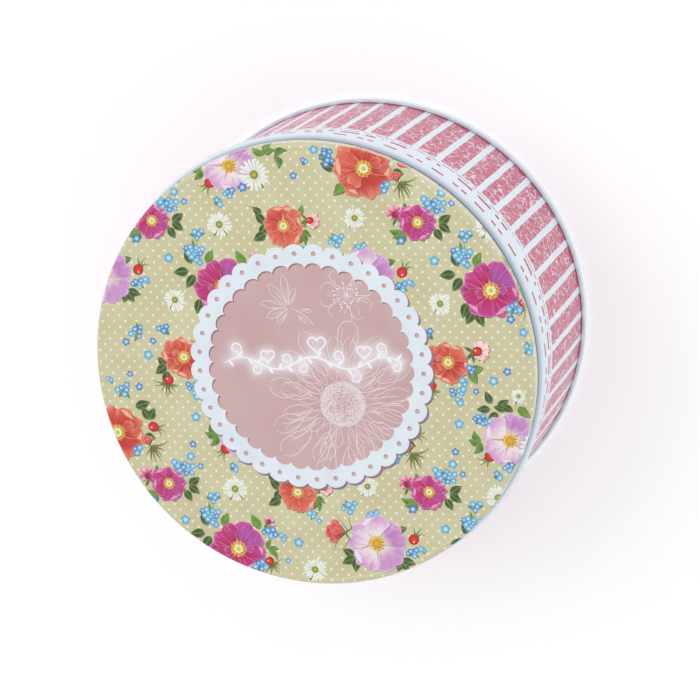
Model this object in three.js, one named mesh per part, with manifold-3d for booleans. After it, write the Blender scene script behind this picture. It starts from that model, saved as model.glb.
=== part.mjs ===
// Round printed gift tin: a rolled body with a bead under its neck, a base seamed onto it,
// and a shallow lid that slips over the neck and comes to rest on the bead.
// Millimetres, +Z up, origin at the middle of the rim that the tin stands on.
import * as THREE from 'three';
import { mergeVertices } from 'three/addons/utils/BufferGeometryUtils.js';
import Module from 'manifold-3d';

const wasm = await Module();
wasm.setup();

// Driving dimensions
const sheet = 0.3;            // tinplate thickness
const facets = 48;            // flats around every turned shape
const wallRadius = 87.45;     // middle of the sheet, plain part of the wall
const beadRadius = 89.65;     // middle of the sheet, at the fullest part of the bead
const neckRadius = 85.9;      // middle of the sheet, inside the lid
const neckTop = 97.1;         // top of the curled edge, before half a sheet is added
const lidRadius = 87.85;      // middle of the sheet, lid skirt
const lidBottom = 91.1;       // underside of the lid's curl, middle of the sheet
const lidTop = 98.45;         // crest of the lid's shoulder, middle of the sheet
const panelDrop = 0.4;        // the printed panel lies this far below the shoulder's crest
const rimRadius = 89.1;       // middle of the sheet, outside of the base seam
const rimHeight = 2.95;       // middle of the sheet, top of the base seam
const baseRecess = 3.35;      // base panel above the standing rim, middle of the sheet
const basePanelStep = 0.6;    // the middle of the base panel is raised by this much more
const seamWidth = 5;          // folded side seam, seen as a strip down the inside
const seamThickness = 0.62;
const seamTurn = 180 + 180 / facets;  // degrees around +Z, on the middle of a flat

// Offsets a centre line of [radius, height] points by half a sheet to each side.
function sheetOutline(path, thickness) {
  const half = thickness / 2;
  const left = [];
  const right = [];
  path.forEach((point, i) => {
    const before = path[Math.max(i - 1, 0)];
    const after = path[Math.min(i + 1, path.length - 1)];
    const a = new THREE.Vector2(point[0] - before[0], point[1] - before[1]);
    const b = new THREE.Vector2(after[0] - point[0], after[1] - point[1]);
    if (i === 0) a.copy(b);
    if (i === path.length - 1) b.copy(a);
    a.normalize();
    b.normalize();
    const along = a.clone().add(b).normalize();
    const reach = half / Math.max(along.dot(a), 0.5);
    left.push(new THREE.Vector2(point[0] - along.y * reach, point[1] + along.x * reach));
    right.push(new THREE.Vector2(point[0] + along.y * reach, point[1] - along.x * reach));
  });
  return left.concat(right.reverse());
}

// Points on an arc, angles in degrees from +radius towards +height.
function arc(r, z, radius, from, to, steps) {
  const points = [];
  for (let i = 0; i <= steps; i += 1) {
    const angle = THREE.MathUtils.degToRad(from + ((to - from) * i) / steps);
    points.push([r + radius * Math.cos(angle), z + radius * Math.sin(angle)]);
  }
  return points;
}

// Turns an outline about +Z. An outline that reaches the axis is closed by it.
function turned(outline, reachesAxis) {
  const points = outline.map((p) => new THREE.Vector2(Math.max(p.x, 0), p.y));
  if (reachesAxis) {
    points[0].x = 0;
    points[points.length - 1].x = 0;
  } else {
    points.push(points[0].clone());
  }
  if (THREE.ShapeUtils.area(points) < 0) points.reverse();
  const geometry = new THREE.LatheGeometry(points, facets);
  geometry.rotateX(Math.PI / 2);
  geometry.deleteAttribute('normal');
  geometry.deleteAttribute('uv');
  const merged = mergeVertices(geometry, 1e-4);
  return withoutSlivers(merged);
}

// Drops triangles that collapsed to a line where the profile meets the axis.
function withoutSlivers(geometry) {
  const index = geometry.getIndex().array;
  const kept = [];
  for (let i = 0; i < index.length; i += 3) {
    const [a, b, c] = [index[i], index[i + 1], index[i + 2]];
    if (a !== b && b !== c && c !== a) kept.push(a, b, c);
  }
  geometry.setIndex(kept);
  return geometry;
}

function toSolid(geometry) {
  const vertProperties = new Float32Array(geometry.getAttribute('position').array);
  const triVerts = new Uint32Array(geometry.getIndex().array);
  return new wasm.Manifold(new wasm.Mesh({ numProp: 3, vertProperties, triVerts }));
}

function toGeometry(solid) {
  const mesh = solid.getMesh();
  const geometry = new THREE.BufferGeometry();
  geometry.setAttribute('position', new THREE.BufferAttribute(mesh.vertProperties, 3));
  geometry.setIndex(new THREE.BufferAttribute(mesh.triVerts, 1));
  return geometry;
}

function part(name, geometry, look) {
  geometry.computeVertexNormals();
  const mesh = new THREE.Mesh(geometry, new THREE.MeshStandardMaterial(look));
  mesh.name = name;
  return mesh;
}

// Body wall, from the free end of its hook in the base seam up to the curl at its mouth.
const hookRadius = 88.55;
const wallPath = [
  [hookRadius, 2.35],
  [hookRadius, 0.95],
  [hookRadius - 0.2, 0.7],
  [wallRadius + 0.25, 0.7],
  [wallRadius, 1.0],
  [wallRadius, 79.2],
  [wallRadius + 0.35, 80.6],
  [wallRadius + 1.25, 82.0],
  [beadRadius - 0.3, 83.4],
  [beadRadius, 85.0],
  [beadRadius - 0.05, 86.5],
  [beadRadius - 0.4, 88.0],
  [beadRadius - 1.1, 89.3],
  [lidRadius - 0.05, 90.15],
  [lidRadius - 0.95, 90.65],
  [neckRadius + 0.25, 91.15],
  [neckRadius, 91.8],
  ...arc(neckRadius - 0.75, neckTop - 0.75, 0.75, 0, 270, 6),
];
const wallShell = turned(sheetOutline(wallPath, sheet), false);

// The folded side seam stands on the inside of the wall, between the base seam and the bead.
const seamGeometry = new THREE.BoxGeometry(seamThickness, seamWidth, 74.3);
seamGeometry.translate(wallRadius - 0.4, 0, 4.3 + 74.3 / 2);
seamGeometry.rotateZ(THREE.MathUtils.degToRad(seamTurn));
seamGeometry.deleteAttribute('normal');
seamGeometry.deleteAttribute('uv');
const wallSolid = toSolid(wallShell).add(toSolid(mergeVertices(seamGeometry, 1e-4)));

// Base, from the middle of its panel out, down, around the wall's hook and back into it.
const chuckRadius = 86.9;
const basePath = [
  [0, baseRecess + basePanelStep],
  [74.5, baseRecess + basePanelStep],
  [75.6, baseRecess],
  [chuckRadius - 0.5, baseRecess],
  [chuckRadius, baseRecess - 0.5],
  [chuckRadius, 0.45],
  [chuckRadius + 0.3, 0.15],
  [rimRadius - 0.3, 0.15],
  [rimRadius, 0.45],
  [rimRadius, rimHeight - 0.3],
  [rimRadius - 0.3, rimHeight],
  [88.2, rimHeight],
  [88.0, rimHeight - 0.25],
  [88.0, 1.25],
];
const baseShell = turned(sheetOutline(basePath, sheet), true);

// Lid, from the middle of its panel over the shoulder and down to the curl inside its edge.
const lidPath = [
  [0, lidTop - panelDrop],
  [85.1, lidTop - panelDrop],
  [85.6, lidTop - 0.06],
  [86.1, lidTop],
  ...arc(lidRadius - 1.5, lidTop - 1.5, 1.5, 75, 0, 4),
  ...arc(lidRadius - 0.65, lidBottom + 0.65, 0.65, 0, -200, 5),
];
const lidShell = turned(sheetOutline(lidPath, sheet), true);

const tin = new THREE.Group();
tin.add(
  part('body_wall', toGeometry(wallSolid), { color: 0xd6788f, roughness: 0.35, metalness: 0.1 }),
  part('base', toGeometry(toSolid(baseShell)), { color: 0xdfe6f0, roughness: 0.3, metalness: 0.15 }),
  part('lid', toGeometry(toSolid(lidShell)), { color: 0xd9cfa3, roughness: 0.3, metalness: 0.1 }),
);

export default tin;
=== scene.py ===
import bmesh
import bpy
import math
import random
import numpy as np
from mathutils import Matrix, Vector
from mathutils.geometry import delaunay_2d_cdt


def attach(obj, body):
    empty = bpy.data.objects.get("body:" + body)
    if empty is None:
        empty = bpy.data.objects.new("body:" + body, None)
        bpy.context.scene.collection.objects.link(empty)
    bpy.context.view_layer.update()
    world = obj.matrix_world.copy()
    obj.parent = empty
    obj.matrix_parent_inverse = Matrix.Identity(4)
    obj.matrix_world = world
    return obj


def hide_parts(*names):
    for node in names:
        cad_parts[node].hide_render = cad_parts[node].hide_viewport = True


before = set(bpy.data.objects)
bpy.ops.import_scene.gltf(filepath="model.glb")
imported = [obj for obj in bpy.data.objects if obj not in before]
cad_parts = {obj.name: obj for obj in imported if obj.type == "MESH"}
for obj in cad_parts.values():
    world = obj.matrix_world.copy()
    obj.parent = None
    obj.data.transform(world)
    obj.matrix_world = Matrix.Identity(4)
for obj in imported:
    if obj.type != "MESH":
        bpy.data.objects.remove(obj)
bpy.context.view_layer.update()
mm = 0.001
print("frame loaded")


# ---- small helpers for materials ----

def newMaterial(name):
    mat = bpy.data.materials.new(name)
    mat.use_nodes = True
    mat.node_tree.nodes.clear()
    return mat


def addNode(tree, kind, **settings):
    node = tree.nodes.new(kind)
    for key, value in settings.items():
        if key == "inputs":
            for socket, given in value.items():
                if isinstance(given, bpy.types.NodeSocket):
                    tree.links.new(given, node.inputs[socket])
                else:
                    node.inputs[socket].default_value = given
        else:
            setattr(node, key, value)
    return node


def calc(tree, operation, a, b=None, c=None, clamp=False):
    given = {0: a}
    if b is not None:
        given[1] = b
    if c is not None:
        given[2] = c
    return addNode(tree, "ShaderNodeMath", operation=operation, use_clamp=clamp, inputs=given).outputs[0]


def times(tree, a, b, clamp=False):
    return calc(tree, "MULTIPLY", a, b, clamp=clamp)


def plus(tree, a, b, clamp=False):
    return calc(tree, "ADD", a, b, clamp=clamp)


def minus(tree, a, b):
    return calc(tree, "SUBTRACT", a, b)


def distance(tree, x, y):
    return calc(tree, "SQRT", plus(tree, calc(tree, "POWER", x, 2.0), calc(tree, "POWER", y, 2.0)))


def noise(tree, place, scale, detail):
    return addNode(tree, "ShaderNodeTexNoise", inputs={"Vector": place, "Scale": scale,
        "Detail": detail}).outputs[0]


def smooth(tree, value, low, high, toLow=0.0, toHigh=1.0):
    node = addNode(tree, "ShaderNodeMapRange", interpolation_type="SMOOTHSTEP",
        inputs={0: value, 1: low, 2: high, 3: toLow, 4: toHigh})
    return node.outputs[0]


def mixColour(tree, factor, a, b, blend="MIX"):
    node = addNode(tree, "ShaderNodeMix", data_type="RGBA", blend_type=blend)
    for socket, given in ((0, factor), (6, a), (7, b)):
        if isinstance(given, bpy.types.NodeSocket):
            tree.links.new(given, node.inputs[socket])
        elif socket == 0:
            node.inputs[0].default_value = given
        else:
            node.inputs[socket].default_value = given
    return node.outputs[2]


def overlay(tree, under, mask, share, over):
    # share of the over colour laid on the under colour where the mask is 1
    return mixColour(tree, times(tree, mask, share), under, over)


def ink(r, g, b):
    # sRGB 0-255 to the linear colour Blender works in
    def linear(c):
        c = c / 255
        return c / 12.92 if c <= 0.04045 else ((c + 0.055) / 1.055) ** 2.4
    return (linear(r), linear(g), linear(b), 1.0)


def ramp(tree, value, stops, interpolation="LINEAR"):
    node = addNode(tree, "ShaderNodeValToRGB", inputs={0: value})
    node.color_ramp.interpolation = interpolation
    elements = node.color_ramp.elements
    while len(elements) > 1:
        elements.remove(elements[-1])
    elements[0].position = stops[0][0]
    elements[0].color = stops[0][1]
    for place, colour in stops[1:]:
        elements.new(place).color = colour
    return node.outputs[0]


# ---- shader groups that several finishes share ----

def makeGroup(name, inputs, outputs):
    tree = bpy.data.node_groups.new(name, "ShaderNodeTree")
    for label, kind, value in inputs:
        socket = tree.interface.new_socket(name=label, in_out="INPUT", socket_type=kind)
        if value is not None:
            socket.default_value = value
    for label, kind in outputs:
        tree.interface.new_socket(name=label, in_out="OUTPUT", socket_type=kind)
    return tree, tree.nodes.new("NodeGroupInput"), tree.nodes.new("NodeGroupOutput")


def buildPrintGrain():
    # press grain: tiny dots of ink, plus the slow unevenness of a long print run
    tree, given, result = makeGroup(
        "printGrain",
        [("Colour", "NodeSocketColor", (1, 1, 1, 1)), ("Dot Size mm", "NodeSocketFloat", 0.32),
         ("Strength", "NodeSocketFloat", 0.06)],
        [("Colour", "NodeSocketColor"), ("Height", "NodeSocketFloat")])
    place = addNode(tree, "ShaderNodeTexCoord").outputs["Object"]
    frequency = calc(tree, "DIVIDE", 1000.0, given.outputs["Dot Size mm"])
    fine = addNode(tree, "ShaderNodeTexNoise", inputs={"Vector": place, "Scale": frequency, "Detail": 1.0})
    wide = addNode(tree, "ShaderNodeTexNoise", inputs={"Vector": place, "Scale": 95.0, "Detail": 3.0})
    shade = plus(tree, times(tree, fine.outputs[0], 0.7), times(tree, wide.outputs[0], 0.3))
    swing = times(tree, minus(tree, shade, 0.5), given.outputs["Strength"])
    factor = plus(tree, 1.0, times(tree, swing, 2.4))
    scaled = addNode(tree, "ShaderNodeVectorMath", operation="SCALE",
        inputs={0: given.outputs["Colour"], "Scale": factor})
    tree.links.new(scaled.outputs[0], result.inputs["Colour"])
    peel = addNode(tree, "ShaderNodeTexNoise", inputs={"Vector": place, "Scale": 620.0, "Detail": 2.0})
    tree.links.new(peel.outputs[0], result.inputs["Height"])
    return tree


def buildHandling():
    # faint smears and hair scratches in the gloss, from being picked up and wiped
    tree, given, result = makeGroup(
        "handling",
        [("Roughness", "NodeSocketFloat", 0.25), ("Amount", "NodeSocketFloat", 0.1)],
        [("Roughness", "NodeSocketFloat")])
    place = addNode(tree, "ShaderNodeTexCoord").outputs["Object"]
    smear = addNode(tree, "ShaderNodeTexNoise", inputs={"Vector": place, "Scale": 38.0, "Detail": 5.0,
        "Distortion": 1.2})
    turned = addNode(tree, "ShaderNodeMapping", inputs={"Vector": place, "Rotation": (0.3, 0.5, 0.8),
        "Scale": (1400.0, 45.0, 1400.0)})
    hair = addNode(tree, "ShaderNodeTexNoise", inputs={"Vector": turned.outputs[0], "Scale": 1.0,
        "Detail": 1.0})
    scratch = smooth(tree, hair.outputs[0], 0.70, 0.78)
    total = plus(tree, minus(tree, smear.outputs[0], 0.45), times(tree, scratch, 0.5))
    rough = plus(tree, given.outputs["Roughness"], times(tree, total, given.outputs["Amount"]), clamp=True)
    tree.links.new(rough, result.inputs["Roughness"])
    return tree


printGrain = buildPrintGrain()
handling = buildHandling()


def finishPrint(mat, colour, grain=0.06, rough=0.24, smears=0.12, peel=0.02, coat=0.3, sheen=0.5):
    # varnished ink over tinplate: every printed finish ends in these nodes
    tree = mat.node_tree
    grainNode = addNode(tree, "ShaderNodeGroup", node_tree=printGrain)
    tree.links.new(colour, grainNode.inputs["Colour"])
    grainNode.inputs["Strength"].default_value = grain
    marks = addNode(tree, "ShaderNodeGroup", node_tree=handling,
        inputs={"Roughness": rough, "Amount": smears})
    bump = addNode(tree, "ShaderNodeBump", inputs={"Height": grainNode.outputs["Height"], "Strength": peel,
        "Distance": 0.00004})
    shader = addNode(tree, "ShaderNodeBsdfPrincipled", inputs={"Base Color": grainNode.outputs["Colour"],
        "Roughness": marks.outputs[0], "Normal": bump.outputs[0], "Metallic": 0.0, "IOR": 1.5,
        "Coat Weight": coat, "Coat Roughness": 0.08, "Specular IOR Level": sheen})
    out = addNode(tree, "ShaderNodeOutputMaterial")
    tree.links.new(shader.outputs[0], out.inputs[0])
    return mat


def motifPlace(tree):
    # x runs along a petal or leaf from its base, y across it, both about 1 at its edge
    uv = addNode(tree, "ShaderNodeUVMap", uv_map="motif").outputs[0]
    parts = addNode(tree, "ShaderNodeSeparateXYZ", inputs={0: uv})
    tone = addNode(tree, "ShaderNodeAttribute", attribute_name="tone").outputs["Fac"]
    return uv, parts.outputs[0], parts.outputs[1], tone


# ---- inks ----

petalInks = {
    "petalMagenta": dict(base=(146, 10, 62), mid=(196, 28, 98), tip=(200, 58, 138), second=(182, 82, 172),
                         vein=(128, 8, 64), edge=(236, 158, 200), shade=(96, 6, 50)),
    "petalCoral": dict(base=(186, 36, 26), mid=(220, 78, 60), tip=(232, 122, 96), second=(206, 56, 44),
                       vein=(176, 32, 28), edge=(248, 184, 154), shade=(130, 22, 20)),
    "petalLilac": dict(base=(254, 244, 222), mid=(248, 228, 232), tip=(214, 156, 208), second=(196, 126, 196),
                       vein=(198, 122, 182), edge=(250, 228, 246), shade=(170, 104, 160)),
    "petalRed": dict(base=(150, 14, 20), mid=(204, 28, 34), tip=(226, 62, 56), second=(232, 96, 90),
                     vein=(130, 10, 18), edge=(252, 190, 180), shade=(104, 8, 16)),
    "petalPink": dict(base=(205, 40, 100), mid=(238, 150, 178), tip=(250, 226, 228), second=(238, 128, 162),
                      vein=(206, 48, 104), edge=(214, 44, 104), shade=(140, 20, 66)),
    "petalFrill": dict(base=(226, 70, 66), mid=(250, 226, 218), tip=(253, 240, 234), second=(246, 200, 192),
                       vein=(226, 96, 90), edge=(222, 62, 60), shade=(150, 30, 34)),
    "petalDaisy": dict(base=(206, 216, 190), mid=(238, 241, 228), tip=(249, 250, 240), second=(226, 233, 226),
                       vein=(188, 200, 192), edge=(252, 253, 248), shade=(160, 160, 118)),
}


def petalFinish(name, look):
    mat = newMaterial(name)
    tree = mat.node_tree
    uv, x, y, tone = motifPlace(tree)
    shifted = addNode(tree, "ShaderNodeCombineXYZ", inputs={0: x, 1: y, 2: times(tree, tone, 9.0)})
    wash = noise(tree, shifted.outputs[0], 2.6, 3.0)
    along = plus(tree, x, times(tree, minus(tree, wash, 0.5), 0.55))
    main = ramp(tree, along, [(0.0, ink(*look["base"])), (0.38, ink(*look["mid"])),
                              (0.92, ink(*look["tip"]))])
    other = ramp(tree, along, [(0.05, ink(*look["base"])), (0.55, ink(*look["second"])),
                               (1.0, ink(*look["tip"]))])
    colour = mixColour(tree, smooth(tree, tone, 0.3, 0.75), main, other)
    angle = calc(tree, "DIVIDE", y, plus(tree, calc(tree, "ABSOLUTE", x), 0.22))
    ribs = addNode(tree, "ShaderNodeCombineXYZ", inputs={0: times(tree, angle, 5.5), 1: times(tree, x, 1.1),
        2: times(tree, tone, 17.0)})
    rib = noise(tree, ribs.outputs[0], 1.6, 3.0)
    colour = overlay(tree, colour, smooth(tree, rib, 0.52, 0.72), 0.55, ink(*look["vein"]))
    colour = overlay(tree, colour, smooth(tree, rib, 0.46, 0.30), 0.35, ink(*look["edge"]))
    away = distance(tree, y, calc(tree, "DIVIDE", minus(tree, x, 0.5), 0.5))
    rimmed = times(tree, smooth(tree, away, 0.72, 1.08), smooth(tree, x, 0.25, 0.6))
    colour = overlay(tree, colour, rimmed, 0.3, ink(*look["edge"]))
    colour = mixColour(tree, calc(tree, "COMPARE", tone, 2.0, 0.3), colour, ink(*look["edge"]))
    colour = mixColour(tree, calc(tree, "COMPARE", tone, 3.0, 0.3), colour, ink(*look["shade"]))
    return finishPrint(mat, colour, grain=0.07)


def skyFinish():
    # forget-me-not blue, palest round the eye
    mat = newMaterial("skyBlue")
    tree = mat.node_tree
    uv, x, y, tone = motifPlace(tree)
    away = distance(tree, x, y)
    cyan = ramp(tree, away, [(0.3, ink(196, 228, 238)), (0.5, ink(116, 194, 226)), (0.95, ink(80, 166, 212))])
    blue = ramp(tree, away, [(0.3, ink(182, 210, 234)), (0.5, ink(92, 156, 216)), (0.95, ink(56, 110, 190))])
    colour = mixColour(tree, smooth(tree, tone, 0.35, 0.75), cyan, blue)
    lobes = calc(tree, "COSINE", times(tree, calc(tree, "ARCTAN2", y, x), 5.0))
    gap = times(tree, smooth(tree, lobes, -0.5, -0.95), smooth(tree, away, 0.3, 0.7))
    colour = overlay(tree, colour, gap, 0.5, ink(48, 104, 176))
    return finishPrint(mat, colour, grain=0.07)


def leafFinish():
    mat = newMaterial("leafGreen")
    tree = mat.node_tree
    uv, x, y, tone = motifPlace(tree)
    side = calc(tree, "ABSOLUTE", y)
    shifted = addNode(tree, "ShaderNodeCombineXYZ", inputs={0: x, 1: y, 2: times(tree, tone, 13.0)})
    wash = noise(tree, shifted.outputs[0], 3.0, 3.0)
    deep = ramp(tree, wash, [(0.3, ink(32, 52, 20)), (0.7, ink(70, 96, 42))])
    fresh = ramp(tree, wash, [(0.3, ink(70, 124, 30)), (0.7, ink(136, 178, 62))])
    colour = mixColour(tree, smooth(tree, tone, 0.35, 0.65), deep, fresh)
    rib = calc(tree, "SINE", minus(tree, times(tree, x, 34.0), times(tree, side, 14.0)))
    colour = overlay(tree, colour, smooth(tree, rib, 0.55, 1.0), 0.38, ink(132, 162, 92))
    colour = overlay(tree, colour, smooth(tree, side, 0.16, 0.04), 0.55, ink(146, 172, 100))
    colour = overlay(tree, colour, smooth(tree, side, 0.5, 0.95), 0.25, ink(30, 48, 24))
    colour = mixColour(tree, calc(tree, "COMPARE", tone, 2.0, 0.3), colour, ink(122, 146, 78))
    colour = mixColour(tree, calc(tree, "COMPARE", tone, 3.0, 0.3), colour, ink(70, 74, 34))
    return finishPrint(mat, colour, grain=0.07)


def twigFinish():
    mat = newMaterial("twigOlive")
    tree = mat.node_tree
    uv, x, y, tone = motifPlace(tree)
    green = mixColour(tree, x, ink(96, 128, 52), ink(150, 160, 84))
    brown = mixColour(tree, x, ink(84, 70, 28), ink(158, 132, 70))
    colour = mixColour(tree, smooth(tree, tone, 0.4, 0.6), green, brown)
    return finishPrint(mat, colour, grain=0.08)


def hipFinish():
    mat = newMaterial("hipRed")
    tree = mat.node_tree
    uv, x, y, tone = motifPlace(tree)
    away = distance(tree, x, y)
    colour = ramp(tree, away, [(0.1, ink(232, 62, 44)), (0.65, ink(214, 34, 34)), (1.0, ink(150, 18, 24))])
    shine = distance(tree, plus(tree, x, 0.28), minus(tree, y, 0.34))
    colour = overlay(tree, colour, smooth(tree, shine, 0.3, 0.08), 0.8, ink(255, 214, 190))
    return finishPrint(mat, colour)


eyeInks = {
    "eyeRose": dict(heart=(196, 206, 96), middle=(250, 244, 190), ring=(232, 176, 72), speck=(176, 96, 34)),
    "eyeWild": dict(heart=(226, 182, 60), middle=(214, 160, 40), ring=(240, 206, 110), speck=(160, 104, 24)),
    "eyeDaisy": dict(heart=(202, 198, 62), middle=(182, 172, 36), ring=(150, 146, 34), speck=(110, 104, 22)),
    "eyeSky": dict(heart=(236, 190, 70), middle=(250, 246, 206), ring=(190, 226, 240), speck=(236, 226, 190)),
}


def eyeFinish(name, look):
    mat = newMaterial(name)
    tree = mat.node_tree
    uv, x, y, tone = motifPlace(tree)
    away = distance(tree, x, y)
    colour = ramp(tree, away, [(0.0, ink(*look["heart"])), (0.2, ink(*look["heart"])),
                               (0.34, ink(*look["middle"])), (0.5, ink(*look["middle"])),
                               (0.66, ink(*look["ring"])), (1.0, ink(*look["ring"]))])
    cells = addNode(tree, "ShaderNodeTexVoronoi", inputs={"Vector": uv, "Scale": 4.2})
    specks = smooth(tree, cells.outputs["Distance"], 0.5, 0.25)
    colour = mixColour(tree, times(tree, specks, smooth(tree, away, 0.42, 0.62)), colour,
        ink(*look["speck"]))
    return finishPrint(mat, colour)


def weaveLines(tree, parts, pitch):
    # a sine wave along each axis of the sheet, like the threads of cloth
    return [calc(tree, "SINE", times(tree, parts.outputs[axis], 2 * math.pi / pitch)) for axis in (0, 1)]


groundLook = {"cream": (215, 209, 169), "warm": (206, 198, 154), "dot": (246, 245, 230),
              "dotPitch": 4.66, "dotRadius": 0.5}


def groundFinish():
    # cream cloth ground with small white dots set in a diagonal grid
    mat = newMaterial("groundCream")
    tree = mat.node_tree
    sheet = addNode(tree, "ShaderNodeUVMap", uv_map="sheet").outputs[0]
    parts = addNode(tree, "ShaderNodeSeparateXYZ", inputs={0: sheet})
    pitch = groundLook["dotPitch"] / 100

    def dots(offset):
        near = []
        for axis in (0, 1):
            slid = plus(tree, parts.outputs[axis], offset * pitch)
            near.append(minus(tree, calc(tree, "FRACT", calc(tree, "DIVIDE", slid, pitch)), 0.5))
        return distance(tree, near[0], near[1])
    closest = calc(tree, "MINIMUM", dots(0.0), dots(0.5))
    size = groundLook["dotRadius"] / groundLook["dotPitch"]
    dot = smooth(tree, closest, size * 1.25, size * 0.75)
    wash = noise(tree, sheet, 5.0, 4.0)
    threads = weaveLines(tree, parts, 0.0062)
    weave = times(tree, times(tree, threads[0], threads[1]), 0.5)
    look = groundLook
    colour = mixColour(tree, smooth(tree, wash, 0.3, 0.7), ink(*look["cream"]), ink(*look["warm"]))
    colour = overlay(tree, colour, smooth(tree, weave, 0.1, 0.5), 0.22, ink(238, 228, 196))
    colour = overlay(tree, colour, dot, 0.85, ink(*groundLook["dot"]))
    return finishPrint(mat, colour, grain=0.09)


def paperFinish(name, colour, deep, grain=0.05):
    mat = newMaterial(name)
    tree = mat.node_tree
    sheet = addNode(tree, "ShaderNodeUVMap", uv_map="sheet").outputs[0]
    wash = noise(tree, sheet, 9.0, 5.0)
    shade = mixColour(tree, smooth(tree, wash, 0.3, 0.75), ink(*colour), ink(*deep))
    return finishPrint(mat, shade, grain=grain)


def heartFinish():
    # the stippled middle of the line flower: fine white dots, closer towards the rim
    mat = newMaterial("discHeart")
    tree = mat.node_tree
    uv, x, y, tone = motifPlace(tree)
    away = distance(tree, x, y)
    cells = addNode(tree, "ShaderNodeTexVoronoi", inputs={"Vector": uv, "Scale": 17.0, "Randomness": 0.55})
    size = smooth(tree, away, 0.0, 1.0, 0.40, 0.6)
    dots = times(tree, calc(tree, "LESS_THAN", cells.outputs["Distance"], size),
        smooth(tree, away, 1.0, 0.93))
    colour = overlay(tree, ink(206, 170, 171), dots, 0.8, ink(246, 238, 242))
    return finishPrint(mat, colour, grain=0.06)


def discFinish():
    # dusty pink linen disc, whitened where the garland glows
    mat = newMaterial("discPink")
    tree = mat.node_tree
    sheet = addNode(tree, "ShaderNodeUVMap", uv_map="sheet").outputs[0]
    parts = addNode(tree, "ShaderNodeSeparateXYZ", inputs={0: sheet})
    wash = noise(tree, sheet, 4.0, 3.0)
    colour = mixColour(tree, smooth(tree, wash, 0.3, 0.7), ink(212, 177, 176), ink(204, 166, 166))
    threads = weaveLines(tree, parts, 0.0075)
    weave = plus(tree, threads[0], threads[1])
    colour = overlay(tree, colour, smooth(tree, weave, 0.4, 1.9), 0.3, ink(226, 192, 190))
    glow = addNode(tree, "ShaderNodeAttribute", attribute_name="glow").outputs["Fac"]
    colour = mixColour(tree, times(tree, glow, 0.82, clamp=True), colour, ink(246, 242, 246))
    return finishPrint(mat, colour, grain=0.06)


print("building inks")
inkMaterials = {"groundCream": groundFinish()}
for inkName, look in petalInks.items():
    inkMaterials[inkName] = petalFinish(inkName, look)
for inkName, look in eyeInks.items():
    inkMaterials[inkName] = eyeFinish(inkName, look)
inkMaterials["skyBlue"] = skyFinish()
inkMaterials["leafGreen"] = leafFinish()
inkMaterials["twigOlive"] = twigFinish()
inkMaterials["hipRed"] = hipFinish()
inkMaterials["doilyWhite"] = paperFinish("doilyWhite", (236, 242, 248), (226, 234, 243))
inkMaterials["doilyShade"] = paperFinish("doilyShade", (152, 128, 134), (140, 116, 124))
inkMaterials["discShade"] = paperFinish("discShade", (160, 112, 118), (146, 100, 108))
inkMaterials["discLine"] = paperFinish("discLine", (244, 230, 230), (236, 216, 217))
inkMaterials["garlandWhite"] = paperFinish("garlandWhite", (252, 252, 254), (247, 248, 252))
inkMaterials["discPink"] = discFinish()
inkMaterials["discHeart"] = heartFinish()
inkMaterials["edgeShadow"] = paperFinish("edgeShadow", (30, 34, 44), (20, 22, 30))
inkList = list(inkMaterials)


# ---- the printed picture, drawn as outlines on a flat sheet, in millimetres ----

pictureLook = {
    "tile": 106.0,            # the flower print repeats at this pitch
    "tileTurn": -1.1,         # degrees, as the sheet sits on the lid
    "tileStart": (46.2, 56.5),  # where the repeat starts, from the middle of the lid
    "doilyOuter": 47.7, "doilyInner": 40.4, "holeRing": 45.0, "holeRadius": 0.95, "scallops": 37,
    "scallopTurn": 0.03,      # radians
    "seed": 7,
    "sheetReach": 97, "doilyReach": 44,  # flowers wholly past the sheet or under the doily are not drawn
    "shift": (-0.3, -0.1),      # the sheet was cut a little off the middle of its picture
}
picture = []
rnd = random.Random(pictureLook["seed"])


def addShape(inkName, outline, origin, turn=0.0, length=1.0, width=1.0, tone=0.5, within=None):
    # origin, turn, length and width give the local place that the ink's pattern reads
    area = sum(a[0] * b[1] - b[0] * a[1] for a, b in zip(outline, outline[1:] + outline[:1]))
    if area < 0:
        outline = outline[::-1]
    picture.append(dict(ink=inkName, outline=outline, origin=origin, turn=turn, length=length, width=width,
                        tone=tone, within=within))
    return len(picture) - 1


def onSheet(origin, turn, x, y):
    return (origin[0] + x * math.cos(turn) - y * math.sin(turn),
            origin[1] + x * math.sin(turn) + y * math.cos(turn))


def addEllipse(inkName, centre, rx, ry, turn=0.0, tone=0.5, points=18, within=None):
    outline = []
    for i in range(points):
        a = 2 * math.pi * i / points
        outline.append(onSheet(centre, turn, rx * math.cos(a), ry * math.sin(a)))
    return addShape(inkName, outline, centre, turn, rx, ry, tone, within)


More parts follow.
